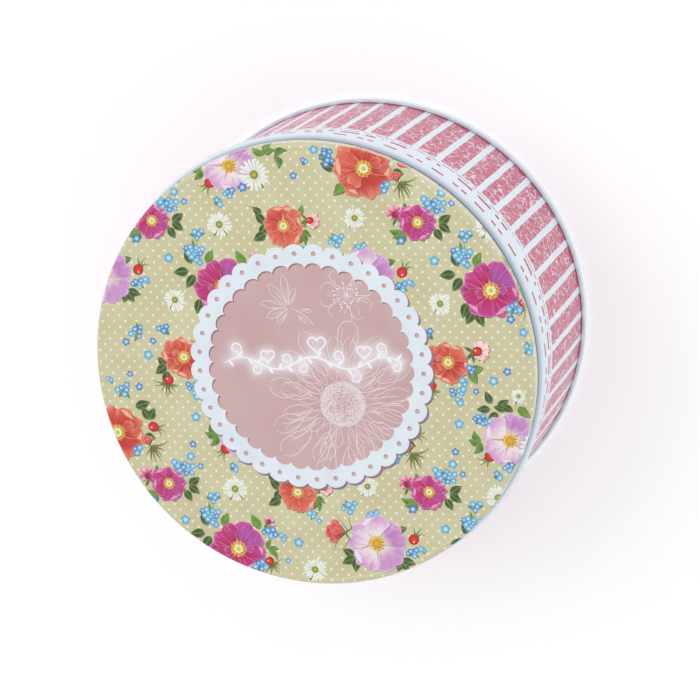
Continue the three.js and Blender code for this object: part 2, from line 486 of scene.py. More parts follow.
def addPetal(inkName, centre, turn, length, spread, tone, notch=0.0, ruffle=0.04, points=15, heel=0.03,
             rim=0.0):
    # a fan-shaped petal: narrow at the flower's heart, widest near its rounded tip
    phase = rnd.uniform(0, 6.28)
    outline = []

    def tip(t):
        r = 1 - 0.2 * abs(t) ** 3 - notch * math.exp(-(t / 0.16) ** 2)
        return length * r * (1 + ruffle * (math.sin(6 * t + phase) + 0.6 * math.sin(13 * t + 2 * phase)))
    for side in (-1, 1):
        edge = []
        for s in (0.12, 0.35, 0.6, 0.82):
            a = side * spread * (0.5 + 0.5 * s ** 0.7)
            r = tip(side) * s + heel * length
            edge.append(onSheet(centre, turn, r * math.cos(a), r * math.sin(a)))
        if side == -1:
            outline += edge
            for i in range(points):
                t = -1 + 2 * i / (points - 1)
                r = tip(t)
                outline.append(onSheet(centre, turn, r * math.cos(t * spread), r * math.sin(t * spread)))
        else:
            outline += edge[::-1]
    width = length * math.sin(min(spread, 1.45)) * 0.95
    if rim:
        addShape(inkName, moved(outline, 1.0, (0.16, -0.24)), centre, turn, length, width, 3.0)
        addShape(inkName, outline, centre, turn, length, width, 2.0)
        outline = moved(outline, 1 - rim / length, (0, 0))
    return addShape(inkName, outline, centre, turn, length, width, tone)


def moved(outline, scale, shift):
    # the outline scaled about its own middle, then shifted
    middle = (sum(x for x, y in outline) / len(outline), sum(y for x, y in outline) / len(outline))
    return [(middle[0] + scale * (x - middle[0]) + shift[0], middle[1] + scale * (y - middle[1]) + shift[1])
            for x, y in outline]


def addFold(inkName, centre, turn, length, spread, side):
    # pale crescent where a petal's lip rolls over
    outer, inner = [], []
    for i in range(9):
        t = side * (0.1 + 0.8 * i / 8)
        a, drop, lift = turn + t * spread, 0.13 * abs(t) ** 3, math.sin(math.pi * i / 8)
        outer.append(onSheet(centre, a, length * (0.9 - drop), 0))
        inner.append(onSheet(centre, a, length * (0.88 - drop - 0.13 * lift), 0))
    addShape(inkName, outer + inner[::-1], centre, turn, length, length, 2.0)


def addLeaf(start, turn, length, width, tone, bend=0.0, points=9):
    # pointed leaf from its stalk end, with slight teeth
    outline = []
    for side in (1, -1):
        steps = range(points) if side == 1 else range(points - 1, -1, -1)
        for i in steps:
            s = i / (points - 1)
            if side == -1 and s in (0.0, 1.0):
                continue
            half = width * math.sin(math.pi * min(s, 1) ** 0.8) ** 0.9 * (1 - 0.15 * s)
            half *= 1 + 0.05 * (i % 2)
            lift = bend * length * math.sin(math.pi * s)
            outline.append(onSheet(start, turn, s * length, side * half + lift))
    addShape("leafGreen", moved(outline, 1.0, (0.12, -0.18)), start, turn, length, width, 3.0)
    addShape("leafGreen", outline, start, turn, length, width, 2.0)
    return addShape("leafGreen", moved(outline, 1 - 0.22 / width, (0, 0)), start, turn, length, width, tone)


def addTwig(points, width, tone):
    # a thin tapering stroke along a list of points
    left, right = [], []
    for i, p in enumerate(points):
        q = points[min(i + 1, len(points) - 1)]
        o = points[max(i - 1, 0)]
        a = math.atan2(q[1] - o[1], q[0] - o[0]) + math.pi / 2
        w = width / 2 * (1 - 0.75 * i / (len(points) - 1))
        left.append((p[0] + w * math.cos(a), p[1] + w * math.sin(a)))
        right.append((p[0] - w * math.cos(a), p[1] - w * math.sin(a)))
    turn = math.atan2(points[-1][1] - points[0][1], points[-1][0] - points[0][0])
    reach = math.dist(points[0], points[-1])
    return addShape("twigOlive", left + right[::-1], points[0], turn, reach, width, tone)


def addRose(inkName, centre, radius, turn, petals=5, eye="eyeRose", eyeSize=0.24, ruffle=0.05, notch=0.05,
            squash=1.0):
    # broad overlapping petals, then a small front fold on some of them, then the stamens
    order = list(range(petals))
    rnd.shuffle(order)
    tones = [rnd.uniform(0.1, 0.9) for _ in order]
    for k in order:
        a = turn + 2 * math.pi * k / petals + rnd.uniform(-0.12, 0.12)
        reach = radius * rnd.uniform(0.9, 1.06) * (1 - (1 - squash) * abs(math.sin(a)))
        spread = rnd.uniform(0.78, 0.92) * 5 / petals
        addPetal(inkName, centre, a, reach, spread, tones[k], notch, ruffle, rim=0.3)
        if rnd.random() < 0.6:
            addFold(inkName, centre, a, reach, spread, rnd.choice((-1, 1)))
    for k in order[:2]:
        a = turn + 2 * math.pi * k / petals + rnd.uniform(-0.35, 0.35)
        addPetal(inkName, centre, a, radius * rnd.uniform(0.5, 0.7), rnd.uniform(0.35, 0.55),
                 rnd.uniform(0, 1), 0.03, ruffle, points=9, rim=0.22)
    addEye(eye, centre, radius * eyeSize)


def addEye(eye, centre, radius):
    points = 26
    outline = []
    for i in range(points):
        a = 2 * math.pi * i / points
        r = radius * (1.06 if i % 2 else 0.9) * rnd.uniform(0.97, 1.05)
        outline.append(onSheet(centre, 0, r * math.cos(a), r * math.sin(a)))
    addShape(eye, outline, centre, 0, radius, radius)


def addWildRose(centre, radius, turn):
    tones = [0.9, 0.2, 0.35, 0.15, 0.6]
    for k in range(5):
        a = turn + 2 * math.pi * k / 5 + rnd.uniform(-0.06, 0.06)
        reach = radius * rnd.uniform(0.94, 1.05)
        addPetal("petalLilac", centre, a, reach, 0.7, tones[k], 0.12, 0.035, points=19, rim=0.25)
        if k % 2:
            addFold("petalLilac", centre, a, reach, 0.7, 1 if k == 1 else -1)
    addEye("eyeWild", centre, radius * 0.27)


def addDaisy(centre, radius, turn=0.0, petals=19):
    for a in (-2.1, -1.0):
        addLeaf(onSheet(centre, a, radius * 0.5, 0), a, radius * 0.55, radius * 0.12, 0.3, points=5)
    for layer, reach in ((0, 1.0), (1, 0.8)):
        count = petals if layer == 0 else petals - 6
        for k in range(count):
            a = turn + 2 * math.pi * (k + 0.5 * layer) / count + rnd.uniform(-0.07, 0.07)
            addPetal("petalDaisy", centre, a, radius * reach * rnd.uniform(0.86, 1.08), 0.14,
                     rnd.uniform(0.0, 1.0), 0.0, 0.01, points=4, heel=0.1)
    addEye("eyeDaisy", centre, radius * 0.29)


def addSky(centre, radius, tone=None):
    # forget-me-not: one five-lobed outline and a pale eye
    tone = rnd.uniform(0, 1) if tone is None else tone
    turn = rnd.uniform(0, 6.28)
    radius *= 1.22
    outline = []
    for i in range(20):
        a = 2 * math.pi * i / 20
        r = radius * (0.88 + 0.14 * math.cos(5 * a))
        outline.append(onSheet(centre, turn, r * math.cos(a), r * math.sin(a)))
    addShape("skyBlue", outline, centre, turn, radius, radius, tone)
    addEllipse("eyeSky", centre, radius * 0.22, radius * 0.22, points=7)


def addSkyCluster(centre, width, height, count, green=2):
    for _ in range(green):
        a = rnd.uniform(0, 6.28)
        addLeaf(centre, a, max(width, height) * 0.62, 0.75, rnd.uniform(0.3, 0.8), points=6)
    shared = rnd.uniform(0, 1)
    for k in range(count):
        a = 2.4 * k + rnd.uniform(-0.3, 0.3)
        r = math.sqrt((k + 0.3) / count)
        place = (centre[0] + 0.5 * width * r * math.cos(a), centre[1] + 0.5 * height * r * math.sin(a))
        addSky(place, rnd.uniform(0.95, 1.3), 0.5 * shared + rnd.uniform(0, 0.5))


def addHip(centre, radius, turn):
    # round red hip with the dried calyx sticking out of it
    for spread in (-0.35, 0.0, 0.4):
        a = turn + spread
        start = onSheet(centre, a, radius * 0.8, 0)
        middle = onSheet(centre, a + 0.1, radius * 1.6, 0)
        end = onSheet(centre, a + spread * 0.6, radius * rnd.uniform(2.2, 2.7), 0)
        addTwig([start, middle, end], radius * 0.42, 0.2)
    addEllipse("hipRed", centre, radius * 0.95, radius, turn + 1.57, points=18)


def addSepals(centre, radius, turn, count=9):
    # curled brown sepals, a spiky tuft
    for k in range(count):
        a = turn + (k - (count - 1) / 2) * 0.36 + rnd.uniform(-0.1, 0.1)
        reach = radius * rnd.uniform(0.75, 1.2)
        curl = rnd.uniform(-0.35, 0.35)
        points = [onSheet(centre, a + curl * s * s, reach * s, 0) for s in (0.0, 0.25, 0.5, 0.75, 1.0)]
        addTwig(points, radius * 0.2, 0.9 if k % 2 else 0.3)


def addCalyx(base, turn, radius, spreads, near, far, bend, width):
    # thin green sepals that stand out from a bud's foot
    for a in spreads:
        middle = onSheet(base, turn + a, radius * near, 0)
        addTwig([base, middle, onSheet(base, turn + a * bend, radius * far, 0)], radius * width, 0.2)


def addBud(centre, radius, turn, outer="petalPink", inner="petalMagenta", stretch=1.25):
    # half-open bud: ruffled pale petals behind, a dark heart in front
    base = onSheet(centre, turn + math.pi, radius * 0.8, 0)
    addLeaf(base, turn + math.pi + 0.5, radius * 1.1, radius * 0.22, 0.2, points=5)
    addCalyx(base, turn, radius, (-1.0, 1.1, -1.7), 0.9, 1.7, 0.8, 0.2)
    for a, tone in ((0.62, 0.3), (-0.62, 0.5), (0.0, 0.2)):
        addPetal(outer, base, turn + a, radius * 1.55 * stretch, 0.5, tone, 0.12, 0.07, points=11, rim=0.24)
    addPetal(outer, base, turn + 0.25, radius * 1.15, 0.62, 0.8, 0.06, 0.05, points=9, rim=0.2)
    addEllipse(inner, centre, radius * 0.42, radius * 0.46, turn, tone=0.1, points=12)


def addFrill(outer, inner, centre, radius, turn):
    # open bud seen from the front: a frilled skirt round a small dark heart
    back = onSheet(centre, turn + math.pi, radius * 0.5, 0)
    for a in (0.7, -0.7, 1.5):
        addLeaf(back, turn + math.pi + a * 0.9, radius * 1.0, radius * 0.17, 0.2, points=5)
    for k, a in enumerate((2.0, -2.0, 1.2, -1.2, 0.42, -0.42)):
        addPetal(outer, centre, turn + a, radius * (0.8 + 0.2 * (k > 1)) * rnd.uniform(0.92, 1.06), 0.52,
                 rnd.uniform(0, 1), 0.09, 0.08, points=11, rim=0.24)
    heart = onSheet(centre, turn + math.pi, radius * 0.18, 0)
    addEllipse(inner, heart, radius * 0.46, radius * 0.42, 0.4, tone=0.1, points=14)


def addRosebud(centre, radius, turn):
    # closed red rosebud: wrapped petals, one over another
    base = onSheet(centre, turn + math.pi, radius * 0.95, 0)
    addCalyx(base, turn, radius, (0.9, -0.9, 2.2, -2.4), 0.8, 1.6, 0.7, 0.24)
    for a, reach, tone in ((0.5, 1.8, 0.9), (-0.5, 1.75, 0.7), (0.1, 2.0, 0.1), (-0.3, 1.65, 0.95),
                           (0.35, 1.4, 0.4), (-0.05, 1.15, 0.85)):
        addPetal("petalRed", base, turn + a, radius * reach, 0.46, tone, 0.05, 0.05, points=9, rim=0.22)


def leafSpray(start, turns, length, width, tone, bend=0.0):
    for a in turns:
        addLeaf(start, math.radians(a), length * rnd.uniform(0.85, 1.1), width, tone, bend)


# each bunch is drawn from its flower's heart; the numbers are places in the repeat

def at(o, dx, dy):
    return (o[0] + dx, o[1] + dy)


def bunchSmallMagenta(o):
    leafSpray(at(o, 8.2, -0.5), (35, -38), 6.2, 1.8, 0.1)
    addLeaf(at(o, 6.5, -2.5), math.radians(-62), 5.2, 1.7, 0.15)
    leafSpray(at(o, -5.5, -3.5), (172, 205, 235), 6.0, 1.5, 0.55, 0.16)
    addLeaf(at(o, -4.4, 4.4), math.radians(95), 3.4, 0.9, 0.5)
    addSkyCluster(at(o, 7.4, 5.8), 8.0, 6.4, 10)
    addSkyCluster(at(o, 4.0, 8.4), 4.0, 2.4, 3)
    addFrill("petalPink", "petalMagenta", at(o, -8.6, 3.6), 3.5, math.radians(100))
    addRose("petalMagenta", o, 7.4, 0.4, 6, eyeSize=0.31, squash=1.0)
    addSky(at(o, -6.9, -7.0), 1.5, 0.9)


def bunchLargeMagenta(o):
    for place, turn in (((-12.2, 9.5), 108), ((-13.4, 6.6), 186), ((-11.0, 5.0), 232), ((-9.5, -4.5), 250),
                        ((-7.0, -7.5), 238), ((-6.0, -8.0), 292)):
        addLeaf((o[0] + place[0], o[1] + place[1]), math.radians(turn), 6.4, 1.95, 0.1)
    addLeaf(at(o, -6.0, 9.6), math.radians(62), 6.0, 1.7, 0.6)
    addLeaf(at(o, 9.5, 8.5), math.radians(118), 6.8, 1.9, 0.75)
    addTwig([at(o, -9.3, 14.0), at(o, -9.2, 17.4), at(o, -9.2, 20.5)], 0.45, 0.1)
    addSkyCluster(at(o, -9.2, 20.9), 4.0, 2.2, 4, 1)
    addSkyCluster(at(o, -10.5, 14.2), 8.2, 5.6, 11)
    addSkyCluster(at(o, -9.2, 10.0), 3.0, 2.4, 2)
    addBud(at(o, 13.6, 11.6), 2.3, math.radians(40), "petalPink", "petalMagenta", 1.0)
    addSkyCluster(at(o, 13.4, 7.0), 5.4, 4.6, 6)
    addSkyCluster(at(o, 18.8, 5.4), 2.8, 2.6, 3)
    leafSpray(at(o, 12.5, -0.5), (75, 10, -48), 4.8, 1.1, 0.85, 0.18)
    addSepals(at(o, 13.2, -6.2), 4.6, math.radians(-55))
    addEllipse("hipRed", at(o, 12.6, -4.8), 1.9, 1.8, 0.6)
    addRose("petalMagenta", o, 11.8, 1.0, 5, eyeSize=0.28)
    addSkyCluster(at(o, 8.6, -6.7), 5.0, 4.6, 6)
    addSky(at(o, 7.0, -11.1), 1.5, 0.95)


def bunchCoral(o):
    leafSpray(at(o, -7.0, 1.6), (128, 250), 5.8, 1.8, 0.1)
    addLeaf(at(o, -6.8, -2.0), math.radians(208), 6.0, 1.9, 0.1)
    addLeaf(at(o, -8.2, 5.4), math.radians(140), 4.4, 1.6, 0.3)
    addTwig([at(o, -9.0, 6.0), at(o, -12.0, 8.2), at(o, -14.6, 8.8)], 0.5, 0.1)
    addLeaf(at(o, 7.0, 4.4), math.radians(72), 4.6, 1.2, 0.55)
    leafSpray(at(o, 6.8, -2.2), (-20, -70, -118), 5.4, 1.3, 0.6, 0.2)
    addRose("petalCoral", at(o, 0.4, 0.6), 8.6, 2.1, 6, eyeSize=0.29)
    addFrill("petalFrill", "hipRed", at(o, 11.6, 2.6), 3.3, math.radians(-10))
    addSkyCluster(at(o, 5.7, -8.2), 3.8, 2.4, 3)
    addSky(at(o, 8.2, -11.1), 1.1)


def bunchLowCoral(o):
    leafSpray(at(o, -7.4, -2.4), (140, 215), 5.6, 1.9, 0.12)
    addLeaf(at(o, -6.6, -5.0), math.radians(236), 5.6, 1.8, 0.1)
    addSepals(at(o, -7.6, -9.6), 5.4, math.radians(-95))
    addEllipse("hipRed", at(o, -7.0, -8.4), 2.0, 1.9, 0.3)
    leafSpray(at(o, 8.4, -2.4), (12, -66), 6.0, 1.9, 0.85)
    addSkyCluster(at(o, -7.2, 12.2), 4.8, 2.6, 5)
    addSky(at(o, -12.2, 7.3), 1.25, 1.0)
    addRose("petalCoral", (o[0], o[1] + 0.8), 8.9, 0.7, 6, eyeSize=0.29)
    addSkyCluster(at(o, 8.9, -1.9), 3.0, 2.6, 3)
    addFrill("petalFrill", "hipRed", at(o, 12.4, 5.2), 4.4, math.radians(8))
    for dx, dy, w, n in ((4.5, -10.6, 3.4, 4), (1.4, -10.8, 2.6, 3), (6.0, -6.8, 3.0, 3),
                         (3.6, -14.2, 2.4, 3)):
        addSkyCluster((o[0] + dx, o[1] + dy), w, 2.4, n, 1)


def bunchLargeCoral(o):
    addLeaf(at(o, -11.5, -1.2), math.radians(160), 6.4, 2.1, 0.3)
    addLeaf(at(o, -8.0, -7.0), math.radians(222), 6.6, 2.2, 0.8)
    addLeaf(at(o, 8.0, 9.0), math.radians(20), 6.6, 2.0, 0.1)
    leafSpray(at(o, 13.4, 4.0), (118, 62), 5.6, 1.8, 0.12)
    addSkyCluster(at(o, -14.4, 3.4), 5.2, 6.2, 8)
    addRose("petalCoral", at(o, -0.4, -1.4), 12.2, 2.6, 5, eyeSize=0.27, ruffle=0.06, squash=0.9)
    addHip(at(o, 14.9, 1.0), 2.2, math.radians(-25))
    addSepals(at(o, 13.6, -7.0), 6.2, math.radians(-62), 7)
    addLeaf(at(o, 11.0, -2.2), math.radians(-20), 4.6, 1.6, 0.2)
    addRosebud(at(o, 12.0, -4.6), 2.0, math.radians(110))
    addSkyCluster(at(o, 7.2, -8.6), 3.6, 3.4, 4)


def bunchWildRose(o):
    leafSpray(at(o, -8.6, -5.6), (150, 205, 262), 6.2, 1.9, 0.12)
    leafSpray(at(o, 9.5, -6.4), (250, 300, 345), 5.8, 1.8, 0.1)
    addLeaf(at(o, 8.2, 5.2), math.radians(20), 4.6, 1.5, 0.5)
    addSkyCluster(at(o, -0.6, 11.6), 4.6, 3.6, 5)
    addWildRose(o, 12.0, 0.35)
    addTwig([at(o, -11.5, 5.0), at(o, -13.6, 8.4), at(o, -15.4, 10.8)], 0.5, 0.1)
    addTwig([at(o, -16.0, 0.6), at(o, -17.2, -1.8), at(o, -16.8, -3.6)], 0.45, 0.1)
    addRosebud(at(o, -16.3, 4.8), 4.1, math.radians(172))
    addHip(at(o, 15.0, 1.9), 2.2, math.radians(52))
    addSkyCluster(at(o, 14.4, -3.6), 4.6, 4.2, 5)
    addSkyCluster(at(o, 18.2, -2.6), 2.2, 2.2, 2)


def bunchHighWildRose(o):
    for place, turn in (((-6.6, 14.6), 112), ((-7.0, 12.6), 184), ((-4.2, 13.2), 34), ((-4.0, 11.0), 214),
                        ((-0.6, 12.4), 170), ((1.8, 11.6), 150)):
        addLeaf((o[0] + place[0], o[1] + place[1]), math.radians(turn), 5.4, 1.6, 0.12)
    addLeaf(at(o, 3.6, 13.2), math.radians(-38), 6.4, 1.9, 0.6)
    leafSpray(at(o, -11.6, -0.2), (118, 172, 240), 5.4, 1.5, 0.6, 0.2)
    addTwig([at(o, 3.6, 15.6), at(o, 2.6, 13.4), at(o, 2.8, 11.4)], 0.4, 0.1)
    addSkyCluster(at(o, -11.2, 8.8), 4.8, 3.6, 6)
    addSkyCluster(at(o, -8.2, 6.6), 4.4, 3.0, 5)
    addHip(at(o, -8.1, -6.2), 2.3, math.radians(222))
    addWildRose(o, 10.8, 1.2)
    addSkyCluster(at(o, -0.6, -10.6), 4.2, 3.4, 5)
    addSkyCluster(at(o, -5.2, -13.8), 3.4, 2.6, 3)
    leafSpray(at(o, 14.6, 4.4), (150, 60, 20), 5.4, 1.5, 0.75, 0.14)
    leafSpray(at(o, 18.4, 3.6), (-75, 20), 5.6, 1.5, 0.6, 0.22)
    addDaisy(at(o, 9.8, -3.6), 6.0, 0.2)
    addSky(at(o, 4.7, -8.4), 1.6, 0.9)


bunches = [
    (bunchSmallMagenta, 0.0, 0.0), (bunchLargeMagenta, 27.3, -26.0), (bunchCoral, 52.7, -2.4),
    (bunchLowCoral, 9.6, -55.0), (bunchLargeCoral, -19.8, 21.9), (bunchWildRose, -21.9, -21.6),
    (bunchHighWildRose, 32.6, 21.5),
]
daisies = [(27.3, -1.3, 4.9), (-24.6, 1.5, 4.2), (7.4, -31.3, 4.5), (58.4, -33.3, 4.8), (36.5, -66.9, 3.0)]
skyBlooms = [  # place, radius, tone, and how many stand together
    (18.1, -5.1, 1.2, 0.6, 4), (5.9, -14.7, 1.7, 0.1, 1), (52.3, -22.4, 1.8, 0.1, 1),
    (47.6, -30.1, 1.1, 0.5, 1),
    (-8.9, -44.4, 1.4, 0.3, 5), (-14.0, -48.5, 1.4, 0.9, 1), (-5.1, -53.6, 1.7, 0.1, 1),
    (27.0, -61.2, 1.7, 0.1, 1), (32.5, -57.4, 1.4, 0.95, 1), (20.1, -65.4, 1.1, 1.0, 1),
    (41.6, -47.9, 1.3, 0.4, 4), (39.3, -41.9, 1.6, 0.1, 1), (13.0, -78.4, 1.7, 0.1, 1),
    (11.1, -89.5, 1.3, 0.9, 1), (9.8, -94.5, 1.6, 0.1, 1), (13.6, -98.4, 1.2, 0.6, 1),
    (-31.7, -7.3, 1.4, 0.4, 5), (-39.3, 27.9, 1.6, 0.1, 1), (-43.2, 23.2, 1.4, 0.7, 2),
    (-47.9, 17.8, 1.3, 0.95, 1), (-34.3, 25.4, 1.4, 0.6, 4), (-13.3, -61.5, 1.1, 0.9, 1),
    (-21.9, -64.1, 1.2, 0.6, 2), (-9.8, -66.6, 1.4, 0.8, 1), (-16.0, -68.0, 1.3, 0.3, 5),
    (62.0, -52.0, 1.3, 0.5, 1), (-31.0, -52.0, 1.2, 0.3, 1),
]


def drawTile(corner):
    turn = math.radians(pictureLook["tileTurn"])

    jobs = [(x, y, 24, lambda o, b=bunch: b(o)) for bunch, x, y in bunches]
    jobs += [(x, y, 7, lambda o, r=r: addDaisy(o, r, rnd.uniform(0, 1))) for x, y, r in daisies]
    for x, y, radius, tone, count in skyBlooms:
        if count == 1:
            jobs.append((x, y, 2, lambda o, r=radius, t=tone: addSky(o, r, t)))
        else:
            jobs.append((x, y, 5, lambda o, n=count: addSkyCluster(o, 1.3 * n, 1.1 * n, n)))
    for x, y, reach, draw in jobs:
        o = onSheet(corner, turn, x, y)
        away = math.hypot(*o)
        rnd.seed(int(x * 10) * 977 + int(y * 10) + pictureLook["seed"])  # every repeat is the same print
        if away - reach < pictureLook["sheetReach"] and away + reach > pictureLook["doilyReach"]:
            draw(o)


def ringOutline(radius, depth, centre=(0.0, 0.0)):
    # scalloped ring: round lobes outwards with sharp corners between them
    lobes, points, outline = pictureLook["scallops"], 10, []
    for k in range(lobes * points):
        t = (k % points) / points
        a = 2 * math.pi * k / (lobes * points) + pictureLook["scallopTurn"]
        bulge = math.sin(math.pi * t) ** 0.62
        r = radius + depth * (bulge - 0.5)
        outline.append((centre[0] + r * math.cos(a), centre[1] + r * math.sin(a)))
    return outline


def drawDoily():
    look = pictureLook
    addShape("doilyShade", ringOutline(look["doilyOuter"] + 0.1, 2.1, (0.7, -0.75)), (0, 0), 0, 50, 50)
    addShape("doilyWhite", ringOutline(look["doilyOuter"], 2.1), (0, 0), 0, 50, 50)
    cut = addShape("discShade", ringOutline(look["doilyInner"], 1.9), (0, 0), 0, 50, 50)
    disc = addShape("discPink", ringOutline(look["doilyInner"], 1.9, (0.45, -0.5)), (0, 0), 0, 50, 50,
        within=cut)
    for k in range(look["scallops"]):
        a = 2 * math.pi * (k + 0.5) / look["scallops"] + look["scallopTurn"]
        middle = (look["holeRing"] * math.cos(a), look["holeRing"] * math.sin(a))
        hole = addEllipse("discShade", middle, look["holeRadius"], look["holeRadius"], points=14)
        addEllipse("discPink", (middle[0] + 0.22, middle[1] - 0.25), look["holeRadius"], look["holeRadius"],
                   points=14, within=hole)
    return cut, disc


lineLook = {"thin": 0.26, "garland": 0.72}
glowPoints = []


def addLine(points, width, inkName, within, taper=True):
    # an inked line of even width that thins out at both ends
    left, right = [], []
    last = len(points) - 1
    for i, p in enumerate(points):
        q = points[min(i + 1, last)]
        o = points[max(i - 1, 0)]
        if math.dist(q, o) < 1e-6:
            continue
        a = math.atan2(q[1] - o[1], q[0] - o[0]) + math.pi / 2
        w = width / 2
        if taper:
            w *= 0.35 + 0.65 * math.sin(math.pi * (i + 0.5) / (last + 1)) ** 0.5
        left.append((p[0] + w * math.cos(a), p[1] + w * math.sin(a)))
        right.append((p[0] - w * math.cos(a), p[1] - w * math.sin(a)))
    addShape(inkName, left + right[::-1], points[0], within=within)


def linePetal(centre, turn, near, far, width, within, folds=2, blunt=0.55):
    # outline of one petal in two strokes, and a few creases in it
    wobble = rnd.uniform(-0.06, 0.06)
    tip = rnd.uniform(-0.12, 0.12) * width
    for side in (1, -1):
        stroke = []
        for i in range(9):
            t = i / 8
            half = width * math.sin(math.pi * t ** 0.9 * 0.99) ** blunt * (0.4 + 0.6 * t)
            ripple = 1 + 0.05 * math.sin(11 * t + turn * 3)
            across = side * half * ripple + tip * t
            stroke.append(onSheet(centre, turn + wobble, near + (far - near) * t, across))
        addLine(stroke, lineLook["thin"], "discLine", within)
    for k in range(folds):
        side = rnd.uniform(-0.6, 0.6) * width
        low = rnd.uniform(0.05, 0.3)
        crease = [onSheet(centre, turn + wobble, near + (far - near) * (low + u * 0.5),
                          side * (0.5 + 0.5 * u) + 0.1 * width * math.sin(4 * u))
                  for u in (0.0, 0.35, 0.7, 1.0)]
        addLine(crease, lineLook["thin"] * 0.7, "discLine", within)


def drawDiscFlowers(within):
    rnd.seed(31)
    gerbera = (12.0, -14.5)
    for layer, count, near, far, width in ((0, 13, 17.0, 32.5, 5.2), (1, 16, 12.5, 26.5, 4.2),
                                           (2, 20, 9.5, 19.0, 2.6)):
        for k in range(count):
            turn = 2 * math.pi * (k + 0.37 * layer) / count + rnd.uniform(-0.09, 0.09)
            linePetal(gerbera, turn, near, far * rnd.uniform(0.9, 1.04), width * rnd.uniform(0.85, 1.15),
                      within, 2 if layer < 2 else 1)
    addEllipse("discHeart", gerbera, 9.5, 9.5, points=48, within=within)
    blossom = (16.4, 28.6)
    for k in range(5):
        linePetal(blossom, 2 * math.pi * k / 5 + 0.5, 3.0, 10.4, 6.4, within, 2, 0.35)
    for k in range(22):
        a = 2 * math.pi * k / 22 + rnd.uniform(-0.1, 0.1)
        r = rnd.uniform(2.5, 5.8)
        tip = onSheet(blossom, a, r, 0)
        addLine([blossom, onSheet(blossom, a, r * 0.55, 0.1), tip], 0.17, "discLine", within)
        addEllipse("garlandWhite", tip, 0.36, 0.36, points=6, within=within)
    lily = (-7.0, 24.0)
    for turn, far, width in ((1.75, 13.0, 2.0), (2.35, 12.0, 2.3), (2.95, 11.6, 2.0), (3.5, 10.0, 2.1),
                             (4.1, 8.0, 1.7), (1.15, 8.0, 1.6)):
        linePetal(lily, turn, 1.0, far, width, within, 2, 0.8)
    stem = [onSheet(lily, -0.3 - 0.35 * u, 12 * u, 0) for u in (0.08, 0.35, 0.6, 0.85, 1.0)]
    addLine(stem, 0.3, "discLine", within)
    for a in (-0.2, -0.75):
        linePetal(onSheet(lily, a, 5.0, 0), a, 0.0, 4.2, 0.9, within, 1, 0.8)


def drawGarland(within):
    # a glowing white garland across the disc: waving stem, curls, leaf pairs and three hearts
    def stemAt(t):
        return (-35 + 72 * t, 1.8 + 2.4 * math.sin(2 * math.pi * 2.5 * t))
    stem = [stemAt(i / 70) for i in range(71)]
    addLine(stem, lineLook["garland"], "garlandWhite", within)
    glowPoints.extend(stem)
    curls = ((0.06, 1, 3.6), (0.17, -1, 3.2), (0.34, 1, 3.3), (0.43, -1, 3.0), (0.63, 1, 3.5),
             (0.72, -1, 3.2), (0.87, 1, 3.4), (0.95, -1, 3.0))
    for t, side, size in curls:
        x, y = stemAt(t)
        curl = []
        for i in range(26):
            u = i / 25
            r = size * (1 - 0.78 * u)
            a = -side * math.pi / 2 + side * 6.6 * u
            curl.append((x + 1.6 * u + r * math.cos(a), y + side * size + r * math.sin(a)))
        addLine(curl, lineLook["garland"] * 0.8, "garlandWhite", within)
        glowPoints.extend(curl[::2])
    for k in range(18):
        t = 0.03 + 0.94 * k / 17
        x, y = stemAt(t)
        turn = (1 if k % 2 else -1) * 0.95
        leaf = []
        for i in range(12):
            a = 2 * math.pi * i / 12
            leaf.append(onSheet((x, y), turn, 1.5 + 1.5 * math.cos(a), 0.55 * math.sin(a)))
        addShape("garlandWhite", leaf, (x, y), within=within)
        glowPoints.append(onSheet((x, y), turn, 1.5, 0))
    for t, size, lift in ((0.25, 2.8, 4.6), (0.53, 3.6, 5.4), (0.79, 2.8, 4.8)):
        x, y = stemAt(t)
        y += lift
        for side in (1, -1):
            lobe = []
            for i in range(15):
                a = math.pi * (0.03 + 0.94 * i / 14)
                hx = 16 * math.sin(a) ** 3 * side
                hy = 13 * math.cos(a) - 5 * math.cos(2 * a) - 2 * math.cos(3 * a) - math.cos(4 * a)
                lobe.append((x + hx * size / 16, y + hy * size / 16))
            addLine(lobe, lineLook["garland"] * 0.9, "garlandWhite", within, taper=False)
            glowPoints.extend(lobe[::2])


print("drawing the picture")
ex = onSheet((0, 0), math.radians(pictureLook["tileTurn"]), pictureLook["tile"], 0)
ey = onSheet((0, 0), math.radians(pictureLook["tileTurn"]), 0, pictureLook["tile"])
for i in (-2, -1, 0, 1):
    for j in (-2, -1, 0, 1):
        drawTile((pictureLook["tileStart"][0] + i * ex[0] + j * ey[0],
                  pictureLook["tileStart"][1] + i * ex[1] + j * ey[1]))
cutShape, discShape = drawDoily()
drawDiscFlowers(discShape)
drawGarland(discShape)
print("picture shapes", len(picture))


# ---- turned tinplate ----

def arcPoints(r, z, radius, start, end, steps):
    points = []
    for i in range(steps + 1):
        a = math.radians(start + (end - start) * i / steps)
        points.append((r + radius * math.cos(a), z + radius * math.sin(a)))
    return points


def alongProfile(profile):
    reach = [0.0]
    for a, b in zip(profile, profile[1:]):
        reach.append(reach[-1] + math.dist(a, b))
    return reach


